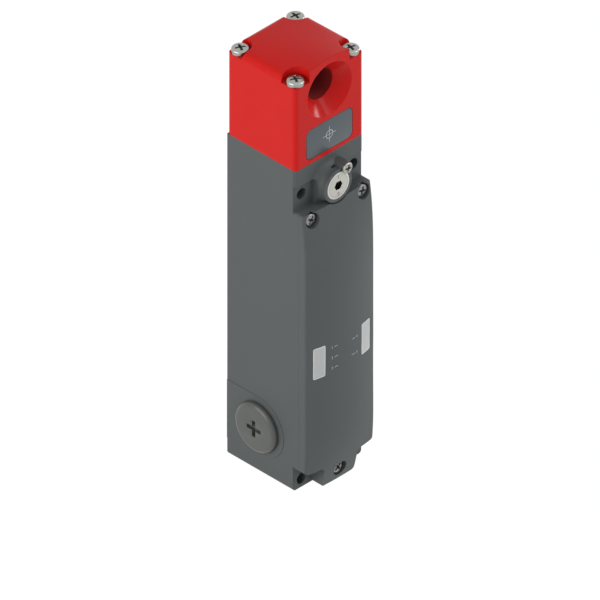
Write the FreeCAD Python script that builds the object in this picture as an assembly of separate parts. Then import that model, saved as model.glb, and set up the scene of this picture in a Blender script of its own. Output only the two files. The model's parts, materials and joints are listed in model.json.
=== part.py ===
"""Tongue interlock switch: solenoid-locked safety switch for a guard door.

The back face lies in the plane y = 0 and the front looks along -Y.  Heights are measured up from a
line just above the foot while the pieces are made; export() then moves everything so that the
origin is the centre of the four fixing holes on the back face.  All sizes are in millimetres.
"""
import FreeCAD
import Part
import math
import os
from FreeCAD import Vector

# ---------------------------------------------------------------- driving dimensions
BODY_W = 40.0            # housing and head, across
BODY_D = 40.0            # upper body and head, back to front
SHELF_H = 140.5          # top of the lower housing and of the cover
DECK_H = 161.6           # top of the upper body, where the head is seated
WALL = 3.0               # side and back walls
CORNER_R = 1.9           # upright front corners
FOOT_H = -1.2            # underside of the foot
FOOT_R = 1.5             # rounded edges under the foot
RUN_FIT = 0.05           # radial clearance of running and threaded fits
SEAT_GAP = 0.1           # clearance of pieces dropped into a recess

# cover, a pillow-shaped lid in front of the cavity
COVER_SEAT = 42.0        # joint plane, in front of the back face
COVER_CROWN = 49.2       # foremost line of the cover
COVER_PLAN_R = 65.0      # curvature across the front
COVER_TOP_R, COVER_TOP_FROM = 210.0, 100.0
COVER_LOW_R, COVER_LOW_FROM = 112.0, 30.0
COVER_SKIN = 2.5         # thickness over the hollow
COVER_EDGE_R = 1.2
COVER_PLAN_RUN = 16.0    # half-width of the plan arc, straight beyond it
COVER_SHOULDER_R = 1.4   # upper corners seen from the front
COVER_HOLLOW_W, COVER_HOLLOW_R = 30.0, 3.0
COVER_HOLLOW_LOW, COVER_HOLLOW_TOP = 16.0, 130.0
COVER_SCREW_X, COVER_SCREW_TOP_H, COVER_SCREW_LOW_H = 15.0, 137.0, 4.5
COVER_SCREW_SEAT, COVER_SCREW_LOW_SEAT = 42.8, 43.4  # counterbore floors, in front of the back face
COVER_SCREW_BORE_R = 3.6
COVER_SCREW_HEAD_R, COVER_SCREW_HEAD_L, COVER_SCREW_R, COVER_SCREW_L = 2.9, 1.6, 1.5, 11.0
COVER_SCREW_HOLE_R = 1.7
COVER_BOSS_GAP = 0.6     # between the cover and the release boss

# pockets round the fixing holes
POCKET_DEPTH = 1.4       # behind the upper front face
POCKET_TOP_H, POCKET_X, POCKET_R = 153.0, 8.4, 1.5
TONGUE_X, TONGUE_TOP_H, TONGUE_R, TONGUE_FOOT_R = 9.6, 9.7, 2.2, 1.8
FIX_X, FIX_LOW_H, FIX_TOP_H, FIX_R = 15.1, 3.2, 147.7, 2.65

# cavity and rod well
CAVITY_LOW_H, CAVITY_TOP_H, CAVITY_R = 13.5, 133.0, 2.0
WELL_X, WELL_BACK, WELL_FRONT, WELL_TOP_H = 8.0, 13.5, 28.0, 157.0
GASKET_W, GASKET_T, GASKET_EDGE = 1.0, 1.0, 1.0

# cable entries M20 x 1.5
ENTRY_Y, ENTRY_H, ENTRY_R, ENTRY_BOSS_R, ENTRY_BOSS_L = 18.5, 22.0, 10.0, 12.5, 5.0
PAD_R, PAD_T = 14.7, 0.2
PLUG_FLANGE_R, PLUG_FLANGE_T, PLUG_EDGE_R = 11.8, 2.9, 2.0
PLUG_THREAD_L, PLUG_WALL = 9.0, 2.0
PLUG_CROSS_L, PLUG_CROSS_W, PLUG_CROSS_DEEP = 8.0, 1.9, 1.8
PLUG_SEAL_W, PLUG_SEAL_T = 1.0, 0.8

# head
HEAD_TOP_H = 209.8       # crown of the arch over the mouth
HEAD_EAVE_H = 206.4      # rear edge of the top
HEAD_ARCH_R, HEAD_REAR_ARCH_R = 55.0, 500.0
HEAD_EDGE_R = 4.2
NOTCH_R, NOTCH_AT, NOTCH_FLOOR_H, HEAD_SCREW_AT = 6.0, 16.9, 203.1, 16.15
HEAD_SCREW_HEAD_R, HEAD_SCREW_HEAD_L, HEAD_SCREW_R, HEAD_SCREW_L = 3.85, 2.4, 2.0, 50.5
HEAD_SCREW_HOLE_R = 2.2

# mouth and bore for the tongue of the actuator
BORE_H, BORE_R, MOUTH_R = 193.9, 7.3, 13.0
HEAD_GASKET_R, HEAD_GASKET_W, HEAD_GASKET_T = 9.0, 1.6, 1.2
BORE_END = 14.0          # shoulder, in front of the back face
CHAMBER_R, HEAD_BACK_WALL = 6.5, 3.2
FOLLOWER_T, FOLLOWER_TRAVEL, FOLLOWER_HUB_R, FOLLOWER_HUB_L = 2.6, 4.6, 2.4, 1.2
FOLLOWER_SPRING_R, FOLLOWER_SPRING_WIRE, FOLLOWER_SPRING_TURNS = 3.6, 0.6, 3.4
SNAP_T, SNAP_FROM_SHOULDER, SNAP_GROOVE, SNAP_W = 0.8, 0.7, 0.5, 1.7

# antenna behind the window of the head
WINDOW_W, WINDOW_LOW_H, WINDOW_TOP_H, WINDOW_R, WINDOW_T = 26.8, 163.7, 178.6, 2.8, 2.0
WINDOW_GAP, WINDOW_LEDGE = 0.25, 1.0
ANTENNA_COIL_T, ANTENNA_COIL_W, ANTENNA_BOARD_T, ANTENNA_ROOM = 3.0, 2.2, 1.4, 0.3

# lock: bolt, rod, armature
ROD_Y = 20.0             # axis of the lock, in front of the back face
LOCK_TRAVEL = 4.5
BOLT_R, BOLT_BASE_H, BOLT_BELOW_BORE = 3.5, 164.0, 0.3
BUSH_R, BUSH_LOW_H, BUSH_BELOW_BORE = 5.0, 170.0, 0.8
ROD_TOP_R, ROD_R, SPIGOT_R, SPIGOT_L = 3.0, 2.5, 1.8, 5.0
BLOCK_X, BLOCK_LOW_H, BLOCK_TOP_H, BLOCK_FRONT, BLOCK_BACK = 6.5, 141.0, 149.6, 26.0, 15.0
YOKE_WEB = 2.5           # web behind the slot of the block
SLOT_PLAY = 0.6          # above and below the crank pin
LOCK_SPRING_R, LOCK_SPRING_WIRE, LOCK_SPRING_TURNS = 4.4, 0.9, 2.6
SPRING_STEPS, SPRING_SIDES = 14, 6
PAN_EDGE = 0.4           # bevelled share of the height of a pan head

# release shaft with its disc
RELEASE_H = 147.6
RELEASE_BOSS_R, RELEASE_BOSS_FACE, RELEASE_FLARE_R, RELEASE_FLARE_L = 8.0, 45.3, 12.5, 4.0
RELEASE_DISC_R, RELEASE_DISC_T = 6.37, 3.0
RELEASE_HEX, RELEASE_HEX_DEEP = 4.0, 1.8
RELEASE_SHAFT_R, RELEASE_SHAFT_END = 4.0, 26.4
CRANK_PIN_R, CRANK_PIN_END = 1.5, 17.8
SEAL_W, SEAL_T, SEAL_AT = 1.6, 0.8, 38.0
CLIP_T, CLIP_R, CLIP_GROOVE, CLIP_GAP = 0.8, 5.2, 0.7, 0.2
SEAL_SLOT_W, SEAL_SLOT_L, SEAL_SLOT_DEEP, SEAL_SLOT_AT = 2.5, 1.0, 1.0, 42.3
LOCK_SCREW_X, LOCK_SCREW_H, LOCK_SCREW_LOBE_R = 4.2, 155.0, 2.9
LOCK_SCREW_HEAD_R, LOCK_SCREW_HEAD_L, LOCK_SCREW_R, LOCK_SCREW_L = 2.6, 1.7, 1.25, 9.0

# solenoid
COIL_LOW_H, COIL_TOP_H, COIL_R, COIL_CORE_R = 90.0, 123.5, 10.0, 5.6
BOBBIN_FLANGE_T, BOBBIN_TUBE_R = 1.4, 4.65
FRAME_T, FRAME_X, FRAME_FRONT, FRAME_BACK, FRAME_EAR = 3.0, 10.5, 31.0, 6.0, 6.0
ARMATURE_R, ARMATURE_LOW_H, ARMATURE_TOP_H = 4.6, 82.0, 108.0
POLE_GAP = 0.6           # left between armature and pole when locked
FRAME_SCREW_X, FRAME_SCREW_R, FRAME_SCREW_HEAD_R, FRAME_SCREW_HEAD_L = 7.0, 1.5, 2.6, 1.8
FRAME_BOSS_R, FRAME_BEND_R = 3.0, 0.3

# contact block with its moving carrier
CONTACT_X, CONTACT_LOW_H, CONTACT_TOP_H, CONTACT_FRONT = 12.0, 46.0, 74.0, 29.0
CARRIER_PIN_R, CARRIER_X, CARRIER_Y, CARRIER_LOW_H, CARRIER_TOP_H = 1.8, 7.0, 4.0, 56.0, 63.0
CARRIER_ROOM, CARRIER_HOLE_R = 0.5, 2.2
CONTACT_SCREW_X, CONTACT_SCREW_HOLE_R = 9.5, 1.7

# main board with lamps and terminals
BOARD_X, BOARD_LOW_H, BOARD_TOP_H, BOARD_BACK, BOARD_T, BOARD_R = 16.2, 38.0, 118.0, 33.0, 1.6, 1.0
POST_X, POST_LOW_H, POST_TOP_H, POST_R = 14.0, 42.0, 114.0, 2.7
BOARD_SCREW_R, BOARD_SCREW_HEAD_R, BOARD_SCREW_HEAD_L, BOARD_SCREW_L = 1.25, 2.2, 1.3, 8.0
TERMINAL_X, TERMINAL_LOW_H, TERMINAL_D, TERMINAL_T = 11.0, 39.0, 11.0, 8.6
TERMINAL_WAYS, TERMINAL_SCREW_R, TERMINAL_SCREW_L = 8, 0.95, 4.0
TERMINAL_WIRE_R, TERMINAL_WIRE_DEEP, TERMINAL_SCREW_DROP = 0.95, 5.0, 3.2
LED_W, LED_L, LED_T = 2.4, 3.2, 1.6
LED_WINDOW_IN, LED_WINDOW_OUT, LED_WINDOW_LOW, LED_WINDOW_TOP = 10.5, 16.7, 57.5, 73.3
LED_WINDOW_R, LED_WINDOW_GAP = 0.7, 0.08
LED_PIPE_W, LED_PIPE_L, LED_PIPE_GAP = 3.0, 9.0, 0.4
EARTH_X, EARTH_H, EARTH_BOSS_R, EARTH_BOSS_L = 0.0, 39.5, 4.0, 6.0
EARTH_HEAD_R, EARTH_HEAD_L, EARTH_R, EARTH_L = 3.6, 2.2, 2.0, 7.5

# ---------------------------------------------------------------- derived places
HALF = BODY_W / 2
FRONT = -BODY_D
POCKET_Y = FRONT + POCKET_DEPTH
COVER_LEVELS = (FOOT_H, 9.0, 19.0, COVER_LOW_FROM, 65.0, COVER_TOP_FROM, 114.0, 128.0, SHELF_H)
ORIGIN_H = (FIX_LOW_H + FIX_TOP_H) / 2
CRANK = LOCK_TRAVEL / 2
AXIS = {"X": Vector(1, 0, 0), "Y": Vector(0, 1, 0), "Z": Vector(0, 0, 1)}


# ---------------------------------------------------------------- building blocks
def closed_wire(corners, place):
    """Wire through corners (a, b) or (a, b, radius); place(a, b) gives the point in space."""
    count = len(corners)
    spans = []
    for i, corner in enumerate(corners):
        here = Vector(corner[0], corner[1], 0)
        radius = corner[2] if len(corner) > 2 else 0
        if not radius:
            spans.append((here, here, here))
            continue
        before, after = corners[i - 1], corners[(i + 1) % count]
        to_before = (Vector(before[0], before[1], 0) - here).normalize()
        to_after = (Vector(after[0], after[1], 0) - here).normalize()
        half_angle = to_before.getAngle(to_after) / 2
        middle = (to_before + to_after).normalize()
        tangent = radius / math.tan(half_angle)
        crest = middle * (radius / math.sin(half_angle) - radius)
        spans.append((here + to_before * tangent, here + crest, here + to_after * tangent))
    edges = []
    for i, (start, crest, end) in enumerate(spans):
        start, crest, end = (place(p.x, p.y) for p in (start, crest, end))
        if (end - start).Length > 1e-6:
            edges.append(Part.Arc(start, crest, end).toShape())
        ahead = spans[(i + 1) % count][0]
        ahead = place(ahead.x, ahead.y)
        if (ahead - end).Length > 1e-6:
            edges.append(Part.LineSegment(end, ahead).toShape())
    return Part.Wire(edges)


def prism(plane, corners, start, end):
    """Solid with the rounded outline in plane XY, XZ or YZ, from start to end across it."""
    places = {"XY": lambda a, b: Vector(a, b, start), "XZ": lambda a, b: Vector(a, start, b),
              "YZ": lambda a, b: Vector(start, a, b)}
    across = AXIS[{"XY": "Z", "XZ": "Y", "YZ": "X"}[plane]] * (end - start)
    return Part.Face(closed_wire(corners, places[plane])).extrude(across)


def turned(axis, a, b, profile):
    """Solid of revolution about a line along axis through (a, b); profile holds (r, along, radius)."""
    places = {"X": lambda r, w: Vector(w, a + r, b), "Y": lambda r, w: Vector(a + r, w, b),
              "Z": lambda r, w: Vector(a + r, b, w)}
    place = places[axis]
    return Part.Face(closed_wire(profile, place)).revolve(place(0, 0), AXIS[axis], 360)


def bar(axis, a, b, start, end, radius):
    """Round bar along axis through (a, b) from start to end."""
    base = {"X": Vector(start, a, b), "Y": Vector(a, start, b), "Z": Vector(a, b, start)}[axis]
    direction = AXIS[axis] * (1 if end > start else -1)
    return Part.makeCylinder(radius, abs(end - start), base, direction)


def ring(axis, a, b, start, end, outer, inner):
    return bar(axis, a, b, start, end, outer).cut(bar(axis, a, b, start, end, inner))


def block(x, y, z):
    """Box between the pairs of limits x, y and z."""
    low = Vector(min(x), min(y), min(z))
    size = Vector(max(x), max(y), max(z)) - low
    return Part.makeBox(size.x, size.y, size.z, low)


def rectangle(a, b, radius):
    """Corners of a rounded rectangle between the pairs of limits a and b."""
    return [(min(a), min(b), radius), (max(a), min(b), radius),
            (max(a), max(b), radius), (min(a), max(b), radius)]


def fuse(first, *others):
    return first.fuse(list(others)).removeSplitter() if others else first


def cross_recess(axis, a, b, start, end, length, width):
    """Two crossed slots for a driver, between start and end along axis."""
    long, short = length / 2, width / 2
    arms = []
    for da, db in ((long, short), (short, long)):
        spans = {"X": ((start, end), (a - da, a + da), (b - db, b + db)),
                 "Y": ((a - da, a + da), (start, end), (b - db, b + db)),
                 "Z": ((a - da, a + da), (b - db, b + db), (start, end))}[axis]
        arms.append(block(*spans))
    return arms[0].fuse(arms[1])


def plain_screw(axis, a, b, seat, way, head_r, head_l, shank_r, shank_l):
    """Cylinder head screw of the inside: the head stands way (+1 or -1) along axis from its seat."""
    profile = [(0, seat - way * shank_l), (shank_r, seat - way * shank_l), (shank_r, seat),
               (head_r, seat), (head_r, seat + way * head_l), (0, seat + way * head_l)]
    return turned(axis, a, b, profile)


def pan_screw(axis, a, b, seat, way, head_r, head_l, shank_r, shank_l):
    """Pan head screw with a cross recess, its head on the side way (+1 or -1) of its seat."""
    edge = head_l * PAN_EDGE
    profile = [(0, seat - way * shank_l), (shank_r, seat - way * shank_l), (shank_r, seat),
               (head_r, seat), (head_r, seat + way * (head_l - edge)), (head_r - edge, seat + way * head_l),
               (0, seat + way * head_l)]
    recess = cross_recess(axis, a, b, seat + way * head_l * 0.4, seat + way * (head_l + 1),
                          head_r * 1.15, head_r * 0.26)
    return turned(axis, a, b, profile).cut(recess)


def coil_spring(axis, a, b, start, end, radius, wire, turns):
    """Open coil spring between start and end, its round wire drawn with flat facets."""
    low, height = start + wire / 2, end - start - wire
    steps = round(turns * SPRING_STEPS)
    rise = math.atan2(height / turns, 2 * math.pi * radius)

    def rim(step):
        angle = 2 * math.pi * step / SPRING_STEPS
        points = []
        for side in range(SPRING_SIDES):
            around = 2 * math.pi * side / SPRING_SIDES
            out = radius + wire / 2 * math.cos(around)
            up, along = wire / 2 * math.sin(around) * math.cos(rise), -wire / 2 * math.sin(around) * math.sin(rise)
            x = out * math.cos(angle) - along * math.sin(angle)
            y = out * math.sin(angle) + along * math.cos(angle)
            w = low + height * step / steps + up
            points.append(Vector(a + x, b + y, w) if axis == "Z" else Vector(a + x, w, b - y))
        return points

    rims = [rim(step) for step in range(steps + 1)]
    faces = [rims[0][::-1], rims[-1]]
    for near, far in zip(rims, rims[1:]):
        for i in range(SPRING_SIDES):
            j = (i + 1) % SPRING_SIDES
            faces += [[near[i], near[j], far[j]], [near[i], far[j], far[i]]]
    shell = Part.Shell([Part.Face(Part.makePolygon(points + points[:1])) for points in faces])
    return Part.Solid(shell)


# ---------------------------------------------------------------- housing and cover
def cover_outline(grow=0.0):
    """Front view of the cover and of the housing behind it, with the tongue at the foot."""
    tongue = [(TONGUE_X, FOOT_H, TONGUE_FOOT_R), (TONGUE_X, TONGUE_TOP_H, TONGUE_R),
              (HALF, TONGUE_TOP_H, TONGUE_R), (HALF, SHELF_H, COVER_SHOULDER_R)]
    return tongue + [(-x, h, r) for x, h, r in reversed(tongue)]


def cover_section(h, inset):
    """Level cut through the cover at h.  Its front is an arc between the depths at the middle and
    at the sides, where the plan arc and the side arc are joined as the legs of a right angle, so
    that neither leaves a crease."""
    past = max(COVER_LOW_FROM - h, h - COVER_TOP_FROM, 0)
    side_r = COVER_LOW_R if h < COVER_LOW_FROM else COVER_TOP_R
    back = side_r - math.sqrt(side_r ** 2 - past ** 2)
    across = COVER_PLAN_R - math.sqrt(COVER_PLAN_R ** 2 - HALF ** 2)
    drop = math.hypot(across, back) - back
    plan_r = (HALF ** 2 + drop ** 2) / (2 * drop) - inset
    crown, angle = -COVER_CROWN + back + inset, math.asin(COVER_PLAN_RUN / plan_r)
    apex = crown + plan_r - plan_r / math.cos(angle)
    side = apex + HALF * math.tan(angle)
    corners = [(-HALF, -COVER_SEAT), (-HALF, side, COVER_EDGE_R), (0, apex, plan_r),
               (HALF, side, COVER_EDGE_R), (HALF, -COVER_SEAT)]
    return closed_wire(corners, lambda x, y: Vector(x, y, h))


def cover_form(inset=0.0):
    """Pillow of the cover; inset moves the front skin inwards."""
    return Part.makeLoft([cover_section(h, inset) for h in COVER_LEVELS], True, False)


def cover_screw_places():
    """Each cover screw's x, h and counterbore floor."""
    return ((-COVER_SCREW_X, COVER_SCREW_TOP_H, COVER_SCREW_SEAT),
            (COVER_SCREW_X, COVER_SCREW_TOP_H, COVER_SCREW_SEAT),
            (0, COVER_SCREW_LOW_H, COVER_SCREW_LOW_SEAT))


def fixing_places():
    return [(x, h) for x in (-FIX_X, FIX_X) for h in (FIX_LOW_H, FIX_TOP_H)]


def head_screw_places():
    rear, front = HEAD_SCREW_AT - BODY_D / 2, -HEAD_SCREW_AT - BODY_D / 2
    return [(x, y) for x in (-HEAD_SCREW_AT, HEAD_SCREW_AT) for y in (rear, front)]


def release_boss():
    """Boss round the release shaft, flared into the upper front face, with the lobe of its screw."""
    profile = [(0, -WELL_FRONT - 1), (RELEASE_FLARE_R, -WELL_FRONT - 1),
               (RELEASE_FLARE_R, FRONT), (RELEASE_BOSS_R, FRONT, RELEASE_FLARE_L),
               (RELEASE_BOSS_R, -RELEASE_BOSS_FACE, 0.4), (0, -RELEASE_BOSS_FACE)]
    boss = turned("Y", 0, RELEASE_H, profile)
    lobe = bar("Y", LOCK_SCREW_X, LOCK_SCREW_H, FRONT, -RELEASE_BOSS_FACE, LOCK_SCREW_LOBE_R)
    return boss.fuse(lobe)


def gasket_path(grow):
    """Rounded rectangle between the cavity and the rim, grown by grow."""
    middle = HALF - WALL / 2
    gap = HALF - WALL + GASKET_EDGE
    low, top = CAVITY_LOW_H - GASKET_EDGE - GASKET_W / 2, CAVITY_TOP_H + GASKET_EDGE + GASKET_W / 2
    return rectangle((-gap - grow - GASKET_W / 2, gap + grow + GASKET_W / 2),
                     (low - grow, top + grow), CAVITY_R + grow)


def gasket_ring(depth, slack=0.0):
    outer = prism("XZ", gasket_path(GASKET_W / 2 + slack), -COVER_SEAT, -COVER_SEAT + depth)
    inner = prism("XZ", gasket_path(-GASKET_W / 2 - slack), -COVER_SEAT, -COVER_SEAT + depth)
    return outer.cut(inner)


def entry_pad(side):
    """Low D-shaped pad round a side cable entry, with a straight top that runs to the rear."""
    top = ENTRY_H + PAD_R
    corners = [(0, ENTRY_H - PAD_R), (-ENTRY_Y, ENTRY_H - PAD_R), (-ENTRY_Y - PAD_R, ENTRY_H - PAD_R, PAD_R),
               (-ENTRY_Y - PAD_R, top, PAD_R), (0, top)]
    del corners[1]
    return prism("YZ", corners, side * (HALF - WALL), side * (HALF + PAD_T))


def housing():
    rear = prism("XZ", [(-HALF, FOOT_H, FOOT_R), (HALF, FOOT_H, FOOT_R), (HALF, DECK_H), (-HALF, DECK_H)],
                 0, POCKET_Y)
    heel = prism("YZ", [(0, FOOT_H, FOOT_R), (0, DECK_H), (POCKET_Y, DECK_H), (POCKET_Y, FOOT_H)],
                 -HALF, HALF)
    upper = [(-HALF, DECK_H), (-HALF, POCKET_TOP_H), (-POCKET_X, POCKET_TOP_H, POCKET_R),
             (-POCKET_X, SHELF_H - COVER_SHOULDER_R)]
    upper += [(-x, *rest) for x, *rest in reversed(upper)]
    plan = [(-HALF, 0), (-HALF, FRONT, CORNER_R), (HALF, FRONT, CORNER_R), (HALF, 0)]
    face = prism("XZ", upper, POCKET_Y, FRONT).common(prism("XY", plan, 0, DECK_H))
    lower = prism("XZ", cover_outline(), POCKET_Y, -COVER_SEAT)
    boss = release_boss().cut([prism("XZ", rectangle((side * POCKET_X, side * HALF),
                                                     (SHELF_H - HALF, POCKET_TOP_H), POCKET_R),
                                     POCKET_Y, -RELEASE_BOSS_FACE) for side in (-1, 1)])
    body = fuse(rear.common(heel), face, lower, boss)
    body = fuse(body, entry_pad(-1), entry_pad(1))

    cavity = prism("XZ", rectangle((-HALF + WALL, HALF - WALL), (CAVITY_LOW_H, CAVITY_TOP_H), CAVITY_R),
                   -WALL, -COVER_SEAT)
    well = prism("XY", rectangle((-WELL_X, WELL_X), (-WELL_BACK, -WELL_FRONT), 1.5),
                 CAVITY_TOP_H - 1, WELL_TOP_H)
    body = body.cut([cavity, well])

    bosses = [bar("X", -ENTRY_Y, ENTRY_H, side * HALF, side * (HALF - WALL - ENTRY_BOSS_L), ENTRY_BOSS_R)
              for side in (-1, 1)]
    bosses += [bar("Y", x, h, -WALL / 2, -BOARD_BACK, POST_R)
               for x in (-POST_X, POST_X) for h in (POST_LOW_H, POST_TOP_H)]
    bosses += [bar("Y", x, h, -WALL / 2, -FRAME_BACK, FRAME_BOSS_R) for x, h in frame_screw_places()]
    bosses.append(bar("Y", EARTH_X, EARTH_H, -WALL / 2, -WALL - EARTH_BOSS_L, EARTH_BOSS_R))
    body = fuse(body, *bosses)

    holes = [bar("Y", x, h, 1, -COVER_SEAT, FIX_R) for x, h in fixing_places()]
    entry = ENTRY_R + RUN_FIT
    holes += [bar("X", -ENTRY_Y, ENTRY_H, side * (HALF + 1), side * (HALF - WALL - ENTRY_BOSS_L - 1), entry)
              for side in (-1, 1)]
    holes.append(bar("Z", 0, -ENTRY_Y, FOOT_H - 1, CAVITY_LOW_H + 1, entry))
    depth = COVER_SCREW_L - (COVER_SCREW_SEAT - COVER_SEAT) + 1
    holes += [bar("Y", x, h, -COVER_SEAT - 1, -COVER_SEAT + depth, COVER_SCREW_R + RUN_FIT)
              for x, h, _ in cover_screw_places()]
    holes += [bar("Z", x, y, DECK_H + 1, NOTCH_FLOOR_H - HEAD_SCREW_L - 0.5, HEAD_SCREW_R + RUN_FIT)
              for x, y in head_screw_places()]
    holes.append(bar("Z", 0, -ROD_Y, WELL_TOP_H - 1, DECK_H + 1, ROD_TOP_R + RUN_FIT))
    holes.append(ring("Z", 0, -ROD_Y, DECK_H - HEAD_GASKET_T, DECK_H + 1,
                      HEAD_GASKET_R + HEAD_GASKET_W / 2 + SEAT_GAP,
                      HEAD_GASKET_R - HEAD_GASKET_W / 2 - SEAT_GAP))
    holes.append(bar("Y", 0, RELEASE_H, -RELEASE_BOSS_FACE - 1, -RELEASE_BOSS_FACE + RELEASE_DISC_T + SEAT_GAP,
                     RELEASE_DISC_R + RUN_FIT))
    holes.append(bar("Y", 0, RELEASE_H, -RELEASE_BOSS_FACE, -WELL_FRONT + 1, RELEASE_SHAFT_R + RUN_FIT))
    holes.append(bar("Y", LOCK_SCREW_X, LOCK_SCREW_H, -RELEASE_BOSS_FACE - 1,
                     -RELEASE_BOSS_FACE + LOCK_SCREW_L + 0.5, LOCK_SCREW_R + RUN_FIT))
    slot_x, slot_y = SEAL_SLOT_W / 2, SEAL_SLOT_L / 2
    holes.append(block((-slot_x, slot_x), (-SEAL_SLOT_AT - slot_y, -SEAL_SLOT_AT + slot_y),
                       (RELEASE_H + RELEASE_BOSS_R - SEAL_SLOT_DEEP, RELEASE_H + RELEASE_BOSS_R + 1)))
    holes += [bar("Y", x, h, -BOARD_BACK - 1, -BOARD_BACK + BOARD_SCREW_L, BOARD_SCREW_R + RUN_FIT)
              for x in (-POST_X, POST_X) for h in (POST_LOW_H, POST_TOP_H)]
    holes += [bar("Y", x, h, -FRAME_BACK - 1, -1.2, FRAME_SCREW_R + RUN_FIT)
              for x, h in frame_screw_places()]
    holes += [bar("Y", x, h, -WALL - 1, -0.8, FRAME_SCREW_R + RUN_FIT) for x, h in contact_screw_places()]
    holes.append(bar("Y", EARTH_X, EARTH_H, -WALL - EARTH_BOSS_L - 1, -1.2, EARTH_R + RUN_FIT))
    holes.append(gasket_ring(GASKET_T, 0.05))
    return body.cut(holes)


def cover():
    body = cover_form().common(prism("XZ", cover_outline(), -COVER_SEAT, -COVER_CROWN - 1))
    hollow = cover_form(COVER_SKIN).common(
        prism("XZ", rectangle((-COVER_HOLLOW_W / 2, COVER_HOLLOW_W / 2),
                              (COVER_HOLLOW_LOW, COVER_HOLLOW_TOP), COVER_HOLLOW_R), -COVER_SEAT, -COVER_CROWN))
    cuts = [hollow, bar("Y", 0, RELEASE_H, -COVER_SEAT + 1, -COVER_CROWN - 1,
                        RELEASE_BOSS_R + COVER_BOSS_GAP)]
    for x, h, seat in cover_screw_places():
        cuts.append(bar("Y", x, h, -COVER_SEAT + 1, -COVER_CROWN, COVER_SCREW_HOLE_R))
        cuts.append(bar("Y", x, h, -seat, -COVER_CROWN - 1, COVER_SCREW_BORE_R))
    for side in (-1, 1):
        cuts.append(led_window_prism(side, 0, -COVER_SEAT + 1, -COVER_CROWN - 1))
    return body.cut(cuts)


def cover_gasket():
    return gasket_ring(GASKET_T)


def cover_screws():
    return [pan_screw("Y", x, h, -seat, -1, COVER_SCREW_HEAD_R, COVER_SCREW_HEAD_L,
                      COVER_SCREW_R, COVER_SCREW_L) for x, h, seat in cover_screw_places()]


# ---------------------------------------------------------------- cable entry plugs
def plug(axis, a, b, face, way):
    """Threaded blanking plug on the surface at face; way is +1 or -1, out of the housing."""
    top, tip = face + way * PLUG_FLANGE_T, face - way * PLUG_THREAD_L
    groove = ENTRY_R + PLUG_SEAL_W
    profile = [(0, top), (PLUG_FLANGE_R, top, PLUG_EDGE_R), (PLUG_FLANGE_R, face), (groove, face),
               (groove, face + way * PLUG_SEAL_T), (ENTRY_R, face + way * PLUG_SEAL_T), (ENTRY_R, tip),
               (ENTRY_R - PLUG_WALL, tip), (ENTRY_R - PLUG_WALL, face - way * 0.5), (0, face - way * 0.5)]
    body = turned(axis, a, b, profile)
    return body.cut(cross_recess(axis, a, b, top - way * PLUG_CROSS_DEEP, top + way,
                                 PLUG_CROSS_L, PLUG_CROSS_W))


def plug_places():
    face = HALF + PAD_T
    return {"plug_left": ("X", -ENTRY_Y, ENTRY_H, -face, -1), "plug_right": ("X", -ENTRY_Y, ENTRY_H, face, 1),
            "plug_bottom": ("Z", 0, -ENTRY_Y, FOOT_H, -1)}


def plug_seals():
    return [ring(axis, a, b, face, face + way * PLUG_SEAL_T, ENTRY_R + PLUG_SEAL_W, ENTRY_R)
            for axis, a, b, face, way in plug_places().values()]


# ---------------------------------------------------------------- head
def head_end(y, crown_h, arch_r):
    """Outline of one end of the head, its top an arch of arch_r through crown_h."""
    run = HALF - HEAD_EDGE_R
    angle = math.asin(run / arch_r)
    apex = crown_h - arch_r + arch_r / math.cos(angle)
    side = apex - HALF * math.tan(angle)
    corners = [(-HALF, DECK_H), (HALF, DECK_H), (HALF, side, HEAD_EDGE_R * 0.9), (0, apex, arch_r),
               (-HALF, side, HEAD_EDGE_R * 0.9)]
    return closed_wire(corners, lambda x, h: Vector(x, y, h))


def window_outline(grow):
    return rectangle((-WINDOW_W / 2 - grow, WINDOW_W / 2 + grow),
                     (WINDOW_LOW_H - grow, WINDOW_TOP_H + grow), max(WINDOW_R + grow, 0.8))


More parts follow.
